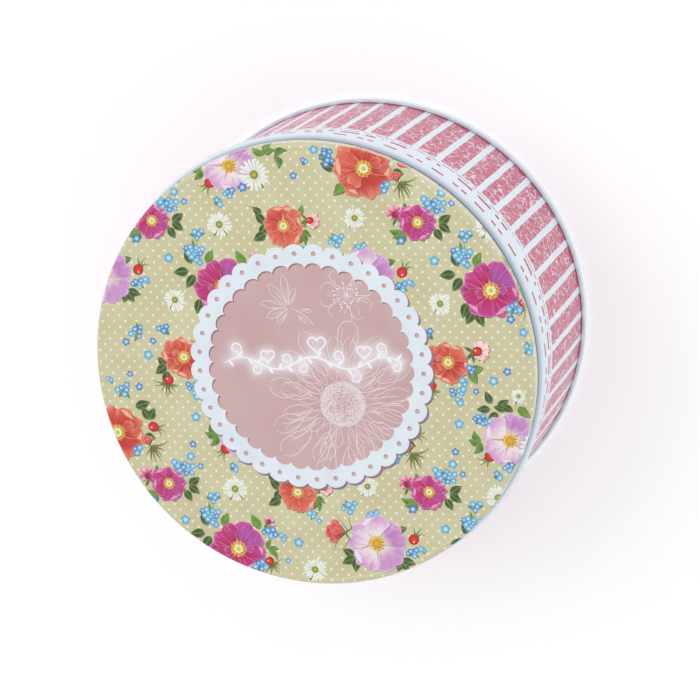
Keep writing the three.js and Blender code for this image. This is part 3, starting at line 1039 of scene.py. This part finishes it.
def buildTurnedTree():
    # sweeps a profile, given as a row of points, round the tin's axis
    tree = bpy.data.node_groups.new("turnedSheet", "GeometryNodeTree")
    tree.interface.new_socket(name="Profile", in_out="INPUT", socket_type="NodeSocketGeometry")
    sides = tree.interface.new_socket(name="Sides", in_out="INPUT", socket_type="NodeSocketInt")
    sides.default_value = 256
    tree.interface.new_socket(name="Finish", in_out="INPUT", socket_type="NodeSocketMaterial")
    tree.interface.new_socket(name="Shell", in_out="OUTPUT", socket_type="NodeSocketGeometry")
    given = tree.nodes.new("NodeGroupInput")
    result = tree.nodes.new("NodeGroupOutput")
    size = addNode(tree, "GeometryNodeAttributeDomainSize", component="MESH",
        inputs={"Geometry": given.outputs["Profile"]})
    columns = plus(tree, given.outputs["Sides"], 1.0)
    grid = addNode(tree, "GeometryNodeMeshGrid", inputs={"Size X": 1.0, "Size Y": 1.0, "Vertices X": columns,
        "Vertices Y": size.outputs["Point Count"]})
    index = addNode(tree, "GeometryNodeInputIndex").outputs[0]
    row = calc(tree, "MODULO", index, size.outputs["Point Count"])
    column = calc(tree, "FLOOR", calc(tree, "DIVIDE", index, size.outputs["Point Count"]))
    place = addNode(tree, "GeometryNodeInputPosition").outputs[0]
    sample = addNode(tree, "GeometryNodeSampleIndex", data_type="FLOAT_VECTOR", domain="POINT",
        inputs={"Geometry": given.outputs["Profile"], "Value": place, "Index": row})
    angle = times(tree, calc(tree, "DIVIDE", column, given.outputs["Sides"]), 2 * math.pi)
    turn = addNode(tree, "ShaderNodeVectorRotate", rotation_type="Z_AXIS",
        inputs={"Vector": sample.outputs[0], "Angle": angle})
    swept = addNode(tree, "GeometryNodeSetPosition", inputs={"Geometry": grid.outputs["Mesh"],
        "Position": turn.outputs[0]})
    merged = addNode(tree, "GeometryNodeMergeByDistance", inputs={"Geometry": swept.outputs[0],
        "Distance": 0.000002})
    softened = addNode(tree, "GeometryNodeSetShadeSmooth", inputs={"Geometry": merged.outputs[0]})
    realized = addNode(tree, "GeometryNodeRealizeInstances", inputs={"Geometry": softened.outputs[0]})
    finished = addNode(tree, "GeometryNodeSetMaterial", inputs={"Geometry": realized.outputs[0],
        "Material": given.outputs["Finish"]})
    tree.links.new(finished.outputs[0], result.inputs["Shell"])
    return tree


turnedTree = buildTurnedTree()


def linkObject(name, mesh):
    obj = bpy.data.objects.new(name, mesh)
    bpy.context.scene.collection.objects.link(obj)
    return obj


def plainCopy(obj, name):
    # the evaluated shape as a plain mesh, with the modifier gone
    evaluated = obj.evaluated_get(bpy.context.evaluated_depsgraph_get())
    mesh = bpy.data.meshes.new_from_object(evaluated)
    mesh.name = name
    bpy.data.objects.remove(obj)
    return linkObject(name, mesh)


def turnedPiece(name, profile, finish, outwards, sides=256):
    # outwards is a point on the open side of the sheet, used to face the surface the right way
    rowMesh = bpy.data.meshes.new(name + "Profile")
    edges = [(i, i + 1) for i in range(len(profile) - 1)]
    rowMesh.from_pydata([(r * mm, 0, z * mm) for r, z in profile], edges, [])
    rowObject = linkObject(name + "Profile", rowMesh)
    modifier = rowObject.modifiers.new("turned", "NODES")
    modifier.node_group = turnedTree
    for item in turnedTree.interface.items_tree:
        if item.item_type == "SOCKET" and item.in_out == "INPUT":
            if item.name == "Sides":
                modifier[item.identifier] = sides
            elif item.name == "Finish":
                modifier[item.identifier] = finish
    piece = plainCopy(rowObject, name)
    mesh = piece.data
    best = min(mesh.polygons, key=lambda p: (math.hypot(p.center.x, p.center.y) - outwards[0] * mm) ** 2
               + (p.center.z - outwards[1] * mm) ** 2)
    radial = Vector((best.center.x, best.center.y, 0)).normalized()
    target = radial * outwards[0] * mm + Vector((0, 0, outwards[1] * mm))
    if best.normal.dot(target - best.center) < 0:
        mesh.flip_normals()
    return piece


# ---- plain finishes ----

def enamelFinish():
    mat = newMaterial("enamelWhite")
    tree = mat.node_tree
    place = addNode(tree, "ShaderNodeTexCoord").outputs["Object"]
    wash = noise(tree, place, 30.0, 4.0)
    colour = mixColour(tree, smooth(tree, wash, 0.3, 0.7), ink(232, 238, 246), ink(224, 231, 241))
    return finishPrint(mat, colour, grain=0.03, rough=0.2, smears=0.14, peel=0.06)


def tinFinish():
    # bare tinplate under a thin pale gold lacquer, with fine rolling marks
    mat = newMaterial("bareTin")
    tree = mat.node_tree
    place = addNode(tree, "ShaderNodeTexCoord").outputs["Object"]
    rolled = addNode(tree, "ShaderNodeMapping", inputs={"Vector": place, "Scale": (40.0, 900.0, 900.0)})
    lines = noise(tree, rolled.outputs[0], 1.0, 3.0)
    spangle = addNode(tree, "ShaderNodeTexVoronoi", inputs={"Vector": place, "Scale": 180.0})
    colour = mixColour(tree, smooth(tree, lines, 0.3, 0.7), ink(232, 229, 219), ink(216, 213, 203))
    colour = overlay(tree, colour, spangle.outputs["Distance"], 0.25, ink(240, 236, 224))
    marks = addNode(tree, "ShaderNodeGroup", node_tree=handling, inputs={"Roughness": 0.34, "Amount": 0.2})
    rough = plus(tree, marks.outputs[0], times(tree, lines, 0.08))
    bump = addNode(tree, "ShaderNodeBump", inputs={"Height": lines, "Strength": 0.08, "Distance": 0.00003})
    shader = addNode(tree, "ShaderNodeBsdfPrincipled", inputs={"Base Color": colour, "Metallic": 1.0,
        "Roughness": rough, "Normal": bump.outputs[0], "Coat Weight": 0.3, "Coat Roughness": 0.12})
    out = addNode(tree, "ShaderNodeOutputMaterial")
    tree.links.new(shader.outputs[0], out.inputs[0])
    return mat


wallLook = {
    "radius": 87.6, "blocks": 55, "stripeShare": 0.26, "blockTop": 63.6, "seamTurn": 183.75, "start": 0.2,
    "stitch": 84.9, "stitchDepth": 3.6, "dash": 70.0, "dashDepth": 2.1, "thread": 66.3, "threadDepth": 0.9,
    "pink": (196, 78, 116), "rose": (184, 60, 98), "hot": (176, 40, 80), "crack": (240, 214, 224),
    "dark": (138, 50, 86), "white": (228, 236, 244),
}


def wallFinish():
    # white boards over a crackled pink ground, with two stitched rows above them
    look = wallLook
    mat = newMaterial("wallPrint")
    tree = mat.node_tree
    place = addNode(tree, "ShaderNodeTexCoord").outputs["Object"]
    turned = addNode(tree, "ShaderNodeVectorRotate", rotation_type="Z_AXIS",
        inputs={"Vector": place, "Angle": math.radians(180 - look["seamTurn"])})
    parts = addNode(tree, "ShaderNodeSeparateXYZ", inputs={0: turned.outputs[0]})
    # the print is counted round from the side seam
    angle = calc(tree, "ARCTAN2", parts.outputs[1], parts.outputs[0])
    around = calc(tree, "DIVIDE", plus(tree, angle, math.pi), 2 * math.pi)
    high = times(tree, parts.outputs[2], 1000.0)
    lengthwise = times(tree, around, 2 * math.pi * look["radius"])
    flat = addNode(tree, "ShaderNodeCombineXYZ", inputs={0: lengthwise, 1: high, 2: 0.0}).outputs[0]
    waver = noise(tree, flat, 0.05, 1.0)
    edge = noise(tree, flat, 1.5, 2.0)
    blockNumber = times(tree, around, float(look["blocks"]))
    drift = times(tree, minus(tree, waver, 0.5), 0.11)
    fray = times(tree, minus(tree, edge, 0.5), 0.03)
    count = plus(tree, plus(tree, blockNumber, look["start"]), plus(tree, drift, fray))
    within = calc(tree, "FRACT", count)
    fromMiddle = calc(tree, "ABSOLUTE", minus(tree, within, 0.5))
    half = 0.5 - look["stripeShare"] / 2
    board = smooth(tree, fromMiddle, half - 0.006, half + 0.006)

    # crackle: creases of a crumpled tissue, drawn as warped cell borders that fade in and out
    tall = addNode(tree, "ShaderNodeVectorMath", operation="MULTIPLY",
        inputs={0: flat, 1: (1.0, 0.55, 1.0)}).outputs[0]
    warp = addNode(tree, "ShaderNodeTexNoise", inputs={"Vector": tall, "Scale": 0.28, "Detail": 2.0})
    bent = addNode(tree, "ShaderNodeVectorMath", operation="MULTIPLY_ADD",
        inputs={0: warp.outputs["Color"], 1: (5.0, 5.0, 0.0), 2: tall})
    cells = addNode(tree, "ShaderNodeTexVoronoi", feature="DISTANCE_TO_EDGE",
        inputs={"Vector": bent.outputs[0], "Scale": 0.34})
    crease = smooth(tree, cells.outputs[0], 0.075, 0.04)
    small = addNode(tree, "ShaderNodeTexVoronoi", feature="DISTANCE_TO_EDGE",
        inputs={"Vector": bent.outputs[0], "Scale": 0.85})
    fine = smooth(tree, small.outputs[0], 0.12, 0.06)
    patch = noise(tree, flat, 0.2, 2.0)
    finePatch = noise(tree, flat, 0.4, 1.0)
    creases = times(tree, crease, smooth(tree, patch, 0.42, 0.54, 0.15, 0.95))
    hairs = times(tree, fine, smooth(tree, finePatch, 0.5, 0.64, 0.0, 0.65))
    fleck = noise(tree, flat, 2.2, 2.0)
    lines = calc(tree, "MAXIMUM", calc(tree, "MAXIMUM", creases, hairs),
        times(tree, smooth(tree, fleck, 0.58, 0.68), 0.3))

    pink = mixColour(tree, smooth(tree, patch, 0.35, 0.65), ink(*look["pink"]), ink(*look["rose"]))
    pink = overlay(tree, pink, smooth(tree, fleck, 0.5, 0.36), 0.3, ink(*look["hot"]))
    pink = overlay(tree, pink, lines, 0.9, ink(*look["crack"]))
    pink = mixColour(tree, smooth(tree, high, 7.0, 3.0, 0.0, 0.75), pink, ink(*look["hot"]))

    # ragged top edge of the blocks
    rag = times(tree, minus(tree, edge, 0.5), 3.0)
    ragged = plus(tree, high, rag)
    block = times(tree, smooth(tree, ragged, look["blockTop"] - 0.25, look["blockTop"] + 0.25, 1.0, 0.0),
        minus(tree, 1.0, board))

    def band(middle, depth, roughness):
        level = plus(tree, high, times(tree, rag, roughness))
        offset = calc(tree, "ABSOLUTE", minus(tree, level, middle))
        return smooth(tree, offset, depth / 2 + 0.2, depth / 2 - 0.2)

    def mark(middle, width):
        offset = calc(tree, "ABSOLUTE", minus(tree, within, middle))
        return smooth(tree, offset, width / 2 + 0.012, width / 2 - 0.012)
    # upper row: one long stitch over one block, two short ones over the next
    odd = calc(tree, "GREATER_THAN", calc(tree, "FRACT", times(tree, calc( tree, "FLOOR", count), 0.5)),
        0.25)
    long = times(tree, mark(0.5, 0.52), odd)
    short = times(tree, calc(tree, "MAXIMUM", mark(0.3, 0.25), mark(0.7, 0.25)), minus(tree, 1.0, odd))
    stitches = times(tree, calc(tree, "MAXIMUM", long, short),
        band(look["stitch"], look["stitchDepth"], 0.25))
    # lower row: ragged dashes, then one thin dark thread
    cutPlace = addNode(tree, "ShaderNodeCombineXYZ", inputs={0: lengthwise, 1: 7.0, 2: 0.0})
    cut = noise(tree, cutPlace.outputs[0], 0.24, 0.0)
    dashes = times(tree, band(look["dash"], look["dashDepth"], 0.5),
        times(tree, smooth(tree, cut, 0.38, 0.42), smooth(tree, fromMiddle, half + 0.01, half - 0.02)))
    threadPlace = addNode(tree, "ShaderNodeCombineXYZ", inputs={0: lengthwise, 1: 31.0, 2: 0.0})
    threadCut = noise(tree, threadPlace.outputs[0], 0.42, 1.0)
    thread = times(tree, band(look["thread"], look["threadDepth"], 0.4), smooth(tree, threadCut, 0.44, 0.48))
    white = overlay(tree, ink(*look["white"]), smooth(tree, fleck, 0.62, 0.76), 0.18, ink(226, 196, 208))
    colour = mixColour(tree, block, white, pink)
    colour = mixColour(tree, calc(tree, "MAXIMUM", stitches, dashes), colour, ink(*look["hot"]))
    colour = overlay(tree, colour, thread, 0.85, ink(*look["dark"]))
    # painted crevice shade: the lowest few millimetres of the wall, where it meets the base seam, are
    # darkened to a dark purple
    colour = mixColour(tree, smooth(tree, high, 3.7, 2.9, 0.0, 0.85), colour, ink(84, 56, 92))
    # soft blue shade under the lid's rolled edge
    colour = mixColour(tree, smooth(tree, high, 88.6, 90.6, 0.0, 0.6), colour, ink(150, 168, 196))
    # the sheet's edge at the side seam is left unprinted
    seam = calc(tree, "MINIMUM", around, minus(tree, 1.0, around))
    colour = mixColour(tree, smooth(tree, seam, 0.0022, 0.0016), colour, ink(206, 208, 214))
    return finishPrint(mat, colour, grain=0.07, rough=0.3, smears=0.12, coat=0.06, sheen=0.28)


enamel = enamelFinish()
bareTin = tinFinish()
wallPrint = wallFinish()


# ---- lid ----

lidLook = {
    "panelRadius": 85.0, "panelTop": 98.2, "crestTop": 98.6, "skirtRadius": 88.0, "shoulder": 1.65,
    "curlMiddle": (87.2, 91.75), "curlRadius": 0.8, "ringPoints": 288,
}


def lidProfile():
    look = lidLook
    points = [(0.0, look["panelTop"]), (look["panelRadius"], look["panelTop"])]
    points += [(85.22, 98.23), (85.42, 98.33), (85.62, 98.47), (85.85, 98.565), (86.1, 98.6)]
    middle = (look["skirtRadius"] - look["shoulder"], look["crestTop"] - look["shoulder"])
    points += arcPoints(middle[0], middle[1], look["shoulder"], 86, 0, 9)
    points += [(look["skirtRadius"], 95.2), (look["skirtRadius"], 93.4), (look["skirtRadius"], 92.9)]
    points += arcPoints(look["curlMiddle"][0], look["curlMiddle"][1], look["curlRadius"], 0, -90, 6)
    return points


def profileNormals(profile):
    normals = []
    for i in range(len(profile)):
        a = profile[max(i - 1, 0)]
        b = profile[min(i + 1, len(profile) - 1)]
        n = Vector((-(b[1] - a[1]), b[0] - a[0]))
        normals.append(n.normalized())
    normals[0] = Vector((0, 1))
    normals[1] = Vector((0, 1))
    return normals


def buildLidPrint():
    # the sheet's outlines are cut into one flat net of triangles, each takes the topmost ink,
    # and the net is then bent over the lid's shoulder as the press bends the printed sheet
    profile = lidProfile()
    reach = alongProfile(profile)
    edgeReach = reach[-9]   # beyond this the rolled edge turns under and stays dark
    normals = profileNormals(profile)
    net, loops = [], []
    for s in reach[:0:-1]:
        start = len(net)
        count = lidLook["ringPoints"]
        net += [Vector((s * math.cos(2 * math.pi * k / count), s * math.sin(2 * math.pi * k / count)))
                for k in range(count)]
        loops.append(list(range(start, start + count)))
    rings = len(loops)
    kept = []
    for number, shape in enumerate(picture):
        shifted = [(x + pictureLook["shift"][0], y + pictureLook["shift"][1]) for x, y in shape["outline"]]
        near = min(math.hypot(x, y) for x, y in shifted)
        far = max(math.hypot(x, y) for x, y in shifted)
        if near > reach[-1] or (far < pictureLook["doilyReach"] and number < cutShape - 2):
            continue
        outline = []
        for x, y in shifted:
            p = Vector((x, y))
            if not outline or (p - outline[-1]).length > 1e-3:
                outline.append(p)
        if len(outline) < 3:
            continue
        start = len(net)
        net += outline
        loops.append(list(range(start, start + len(outline))))
        kept.append(number)
    step = 1.35  # spacing of loose points that let the glow round the garland fade smoothly
    for i in range(-28, 29):
        for j in range(-9, 11):
            p = Vector((i * step + (j % 2) * step / 2, j * step + 1.6))
            if p.length < 39:
                net.append(p)
    result = delaunay_2d_cdt(net, [], loops, 0, 1e-5, True)
    flat = result[0]
    inside = [i for i, owner in enumerate(result[5]) if 0 in owner]  # within the sheet's edge
    triangles = [result[2][i] for i in inside]
    owners = [result[5][i] for i in inside]
    print("net", len(flat), "points", len(triangles), "triangles")

    glowArray = np.array(glowPoints) + np.array(pictureLook["shift"])
    places, pointNormals, glow, sheetPlaces = [], [], [], []
    for p in flat:
        s = p.length
        if s <= reach[1]:
            r, z, n = s, profile[1][1], normals[0]
        else:
            k = 1
            while k < len(reach) - 2 and reach[k + 1] < s:
                k += 1
            t = min(max((s - reach[k]) / (reach[k + 1] - reach[k]), 0), 1)
            r = profile[k][0] + t * (profile[k + 1][0] - profile[k][0])
            z = profile[k][1] + t * (profile[k + 1][1] - profile[k][1])
            n = normals[k].lerp(normals[k + 1], t).normalized()
        c, d = (p.x / s, p.y / s) if s > 1e-9 else (1, 0)
        places.append((r * c * mm, r * d * mm, z * mm))
        pointNormals.append((n.x * c, n.x * d, n.y))
        sheetPlaces.append((p.x / 100, p.y / 100))
        if s < 42:
            d2 = ((glowArray - (p.x, p.y)) ** 2).sum(1)
            glow.append(float(min(1.0, np.exp(-d2 / 5.5).sum() * 0.115)))
        else:
            glow.append(0.0)

    corners, motif, tones, slots, used = [], [], [], [], []
    for tri, owner in zip(triangles, owners):
        ids = [kept[o - rings] for o in owner if o >= rings]
        top = None
        for number in sorted(ids, reverse=True):
            need = picture[number]["within"]
            if need is None or (need in ids and picture[need]["within"] in [None] + ids):
                top = number
                break
        a, b, c = (flat[i] for i in tri)
        if (b - a).cross(c - a) < 0:
            tri = tri[::-1]
        atEdge = min(flat[i].length for i in tri) > edgeReach - 0.01
        shape = None if top is None or atEdge else picture[top]
        slots.append(inkList.index("edgeShadow" if atEdge else shape["ink"] if shape else inkList[0]))
        for i in tri:
            p = flat[i]
            corners.append(i)
            if shape:
                dx = p.x - shape["origin"][0] - pictureLook["shift"][0]
                dy = p.y - shape["origin"][1] - pictureLook["shift"][1]
                co, si = math.cos(shape["turn"]), math.sin(shape["turn"])
                motif += [(dx * co + dy * si) / shape["length"], (dy * co - dx * si) / shape["width"]]
                tones.append(shape["tone"])
            else:
                motif += [0.0, 0.0]
                tones.append(0.5)
        used.append(tri)
    mesh = bpy.data.meshes.new("lidPrint")
    mesh.from_pydata(places, [], used)
    for name in inkList:
        mesh.materials.append(inkMaterials[name])
    mesh.polygons.foreach_set("material_index", slots)
    mesh.polygons.foreach_set("use_smooth", [True] * len(used))
    layer = mesh.uv_layers.new(name="motif")
    layer.data.foreach_set("uv", motif)
    sheetLayer = mesh.uv_layers.new(name="sheet")
    sheetLayer.data.foreach_set("uv", [v for i in corners for v in sheetPlaces[i]])
    toneLayer = mesh.attributes.new("tone", "FLOAT", "CORNER")
    toneLayer.data.foreach_set("value", tones)
    glowLayer = mesh.attributes.new("glow", "FLOAT", "POINT")
    glowLayer.data.foreach_set("value", glow)
    mesh.normals_split_custom_set_from_vertices(pointNormals)
    bm = bmesh.new()
    bm.from_mesh(mesh)
    bmesh.ops.delete(bm, geom=[v for v in bm.verts if not v.link_faces], context="VERTS")
    bm.to_mesh(mesh)
    bm.free()
    return linkObject("lidPrint", mesh)


print("building the lid")
lidPrint = buildLidPrint()
lidInsideProfile = (
    arcPoints(87.2, 91.75, 0.8, -90, -200, 8) + arcPoints(87.2, 91.75, 0.5, -200, 0, 12)
    + [(87.7, 93.4), (87.7, 95.2)] + arcPoints(86.35, 96.95, 1.35, 0, 86, 7)
    + [(86.1, 98.3), (85.85, 98.265), (85.62, 98.17), (85.42, 98.03), (85.22, 97.93), (85.0, 97.9),
       (70, 97.9), (0, 97.9)])
lidInside = turnedPiece("lidInside", lidInsideProfile, bareTin, (60, 90), lidLook["ringPoints"])


# ---- body wall ----

print("building the wall")
wallOutsideProfile = (
    [(87.55, 2.2), (87.6, 3.0), (87.6, 20.0), (87.6, 40.0), (87.6, 60.0), (87.6, 74.0), (87.6, 79.0)]
    + [(87.66, 79.7), (87.86, 80.5), (88.2, 81.3), (88.62, 82.0), (89.02, 82.7), (89.4, 83.6), (89.65, 84.5),
       (89.77, 85.4), (89.8, 86.2), (89.72, 87.0), (89.52, 87.9), (89.2, 88.7), (88.75, 89.4), (88.2, 89.95),
       (87.6, 90.35), (86.95, 90.72), (86.45, 91.1), (86.15, 91.5), (86.05, 92.1)]
    + [(86.05, 94.5)] + arcPoints(85.15, 96.35, 0.9, 0, 90, 6))
wallOutside = turnedPiece("wallOutside", wallOutsideProfile, wallPrint, (120, 40), 288)
wallInsideProfile = (
    arcPoints(85.15, 96.35, 0.9, 90, 270, 10) + arcPoints(85.15, 96.35, 0.6, 270, 0, 12)
    + [(85.75, 94.5), (85.75, 92.0), (85.85, 91.3), (86.2, 90.8), (86.9, 90.36), (87.5, 90.0), (88.05, 89.6),
       (88.55, 89.15), (89.0, 88.5), (89.3, 87.75), (89.47, 86.95), (89.5, 86.2), (89.47, 85.4),
       (89.35, 84.6), (89.1, 83.75), (88.75, 82.95), (88.35, 82.2), (87.9, 81.4), (87.56, 80.6),
       (87.36, 79.8), (87.3, 79.0), (87.3, 60.0), (87.3, 40.0), (87.3, 20.0), (87.3, 1.0), (87.45, 0.9)])
wallInside = turnedPiece("wallInside", wallInsideProfile, bareTin, (40, 40), 288)


def arcStrip(name, radiusIn, radiusOut, halfWidth, low, high, finish, bevel):
    # a narrow curved plate standing on the wall at the side seam
    turn = math.radians(wallLook["seamTurn"])
    steps = 8
    section = [-halfWidth + 2 * halfWidth * i / steps for i in range(steps + 1)]
    points, faces = [], []
    for z in (low, high):
        for r, inset in ((radiusOut, bevel), (radiusIn, 0.0)):
            for x in section:
                a = turn + (x * (1 - inset / halfWidth)) / 87.5
                points.append((r * math.cos(a) * mm, r * math.sin(a) * mm, z * mm))
    n = steps + 1
    for i in range(steps):
        faces.append((i, i + 1, 2 * n + i + 1, 2 * n + i))                      # outer face
        faces.append((n + i + 1, n + i, 3 * n + i, 3 * n + i + 1))              # inner face
        faces.append((i + 1, i, n + i, n + i + 1))                              # bottom
        faces.append((2 * n + i, 2 * n + i + 1, 3 * n + i + 1, 3 * n + i))      # top
    faces.append((0, 2 * n, 3 * n, n))
    faces.append((n - 1, 2 * n - 1, 4 * n - 1, 3 * n - 1))
    mesh = bpy.data.meshes.new(name)
    mesh.from_pydata(points, [], faces)
    mesh.materials.append(finish)
    obj = linkObject(name, mesh)
    bm = bmesh.new()
    bm.from_mesh(mesh)
    bmesh.ops.recalc_face_normals(bm, faces=bm.faces)
    bm.to_mesh(mesh)
    bm.free()
    return obj


seamInside = arcStrip("seamInside", 87.35, 86.75, 2.5, 4.3, 78.6, bareTin, 0.4)
seamOutside = arcStrip("seamOutside", 87.5, 87.7, 1.5, 3.0, 78.9, wallPrint, 0.1)


# ---- base ----

print("building the base")

def basePanel(lift):
    # the stamped panel with its one step, from the countersunk edge to the middle
    return [(r, z + lift) for r, z in ((82.0, 3.2), (75.9, 3.2), (75.5, 3.3), (75.0, 3.65), (74.6, 3.8),
                                       (66.0, 3.8), (30.0, 3.8), (0.0, 3.8))]


baseOutsideProfile = (
    [(87.6, 2.5)] + arcPoints(88.05, 2.62, 0.45, 180, 90, 5) + arcPoints(88.72, 2.55, 0.53, 88, 0, 6)
    + [(89.25, 1.6)] + arcPoints(88.72, 0.53, 0.53, 0, -90, 6) + [(87.7, 0.0)]
    + arcPoints(87.25, 0.5, 0.5, -90, -180, 5) + [(86.75, 1.8)] + arcPoints(86.35, 2.8, 0.4, 0, 90, 4)
    + basePanel(0.0))
baseOutside = turnedPiece("baseOutside", baseOutsideProfile, enamel, (60, -10), 288)
baseInsideProfile = [(87.05, 1.0), (87.05, 3.0)] + arcPoints(86.55, 3.0, 0.5, 0, 90, 4) + basePanel(0.3)
baseInside = turnedPiece("baseInside", baseInsideProfile, bareTin, (40, 40), 288)


# ---- what rides on what ----

for piece in (lidPrint, lidInside):
    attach(piece, "lid")
for piece in (wallOutside, wallInside, seamInside, seamOutside, baseOutside, baseInside):
    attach(piece, "tin")
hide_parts("lid")
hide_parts("body_wall")
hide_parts("base")


# ---- studio ----

studioLook = {
    "floor": (255, 255, 255), "floorReach": 6.0, "glow": 0.14,   # reach in metres
    "world": 0.75, "key": 3.6, "fill": 1.9, "rim": 1.5,
}


def buildStudio():
    mesh = bpy.data.meshes.new("studioFloor")
    size = studioLook["floorReach"]
    corners = [(-size, -size, 0), (size, -size, 0), (size, size, 0), (-size, size, 0)]
    mesh.from_pydata(corners, [], [(0, 1, 2, 3)])
    floor = linkObject("studioFloor", mesh)
    mat = newMaterial("floorPale")
    tree = mat.node_tree
    shader = addNode(tree, "ShaderNodeBsdfPrincipled", inputs={"Base Color": ink(*studioLook["floor"]),
        "Roughness": 0.9, "Emission Color": (1, 1, 1, 1), "Emission Strength": studioLook["glow"]})
    out = addNode(tree, "ShaderNodeOutputMaterial")
    tree.links.new(shader.outputs[0], out.inputs[0])
    mesh.materials.append(mat)
    world = bpy.data.worlds.new("studioWorld")
    world.use_nodes = True
    world.node_tree.nodes["Background"].inputs[0].default_value = (0.96, 0.98, 1.0, 1)
    world.node_tree.nodes["Background"].inputs[1].default_value = studioLook["world"]
    bpy.context.scene.world = world
    for name, power, size, spot in (("key", studioLook["key"], 0.9, (-0.7, 0.5, 1.25)),
                                    ("fill", studioLook["fill"], 1.2, (0.9, -0.6, 1.1)),
                                    ("rim", studioLook["rim"], 0.8, (0.7, 1.0, 0.7))):
        light = bpy.data.lights.new(name, "AREA")
        light.energy = power
        light.size = size
        lamp = bpy.data.objects.new(name, light)
        lamp.location = spot
        lamp.rotation_euler = (Vector((0, 0, 0.05)) - Vector(spot)).to_track_quat("-Z", "Y").to_euler()
        bpy.context.scene.collection.objects.link(lamp)


cameraLook = {
    "lens": 144.0,                      # mm on a 36 mm wide frame
    "tilt": 21.06, "roll": 222.33,      # how the tin's axis leans in the picture, degrees
    "lidMiddle": (-0.01305, -0.00496, -1.0863),  # where the lid's edge circle is centred, from the camera
    "lidHeight": 91.0,
}


def buildCamera():
    look = cameraLook
    tilt, roll = math.radians(look["tilt"]), math.radians(look["roll"])
    axis = Vector((math.sin(tilt) * math.cos(roll), math.sin(tilt) * math.sin(roll), math.cos(tilt)))
    up = Vector((0, 1, 0))
    up = (up - axis * axis.dot(up)).normalized()
    right = up.cross(axis)
    toCamera = Matrix((right, up, axis)).transposed()   # columns are the tin's axes seen from the camera
    turn = toCamera.transposed()
    data = bpy.data.cameras.new("camera")
    data.lens = look["lens"]
    data.sensor_width = 36
    camera = bpy.data.objects.new("camera", data)
    middle = Vector((0, 0, look["lidHeight"] * mm))
    place = middle - turn @ Vector(look["lidMiddle"])
    camera.matrix_world = Matrix.Translation(place) @ turn.to_4x4()
    bpy.context.scene.collection.objects.link(camera)
    bpy.context.scene.camera = camera


buildStudio()
buildCamera()
bpy.context.scene.view_settings.view_transform = "Standard"
print("studio ready")

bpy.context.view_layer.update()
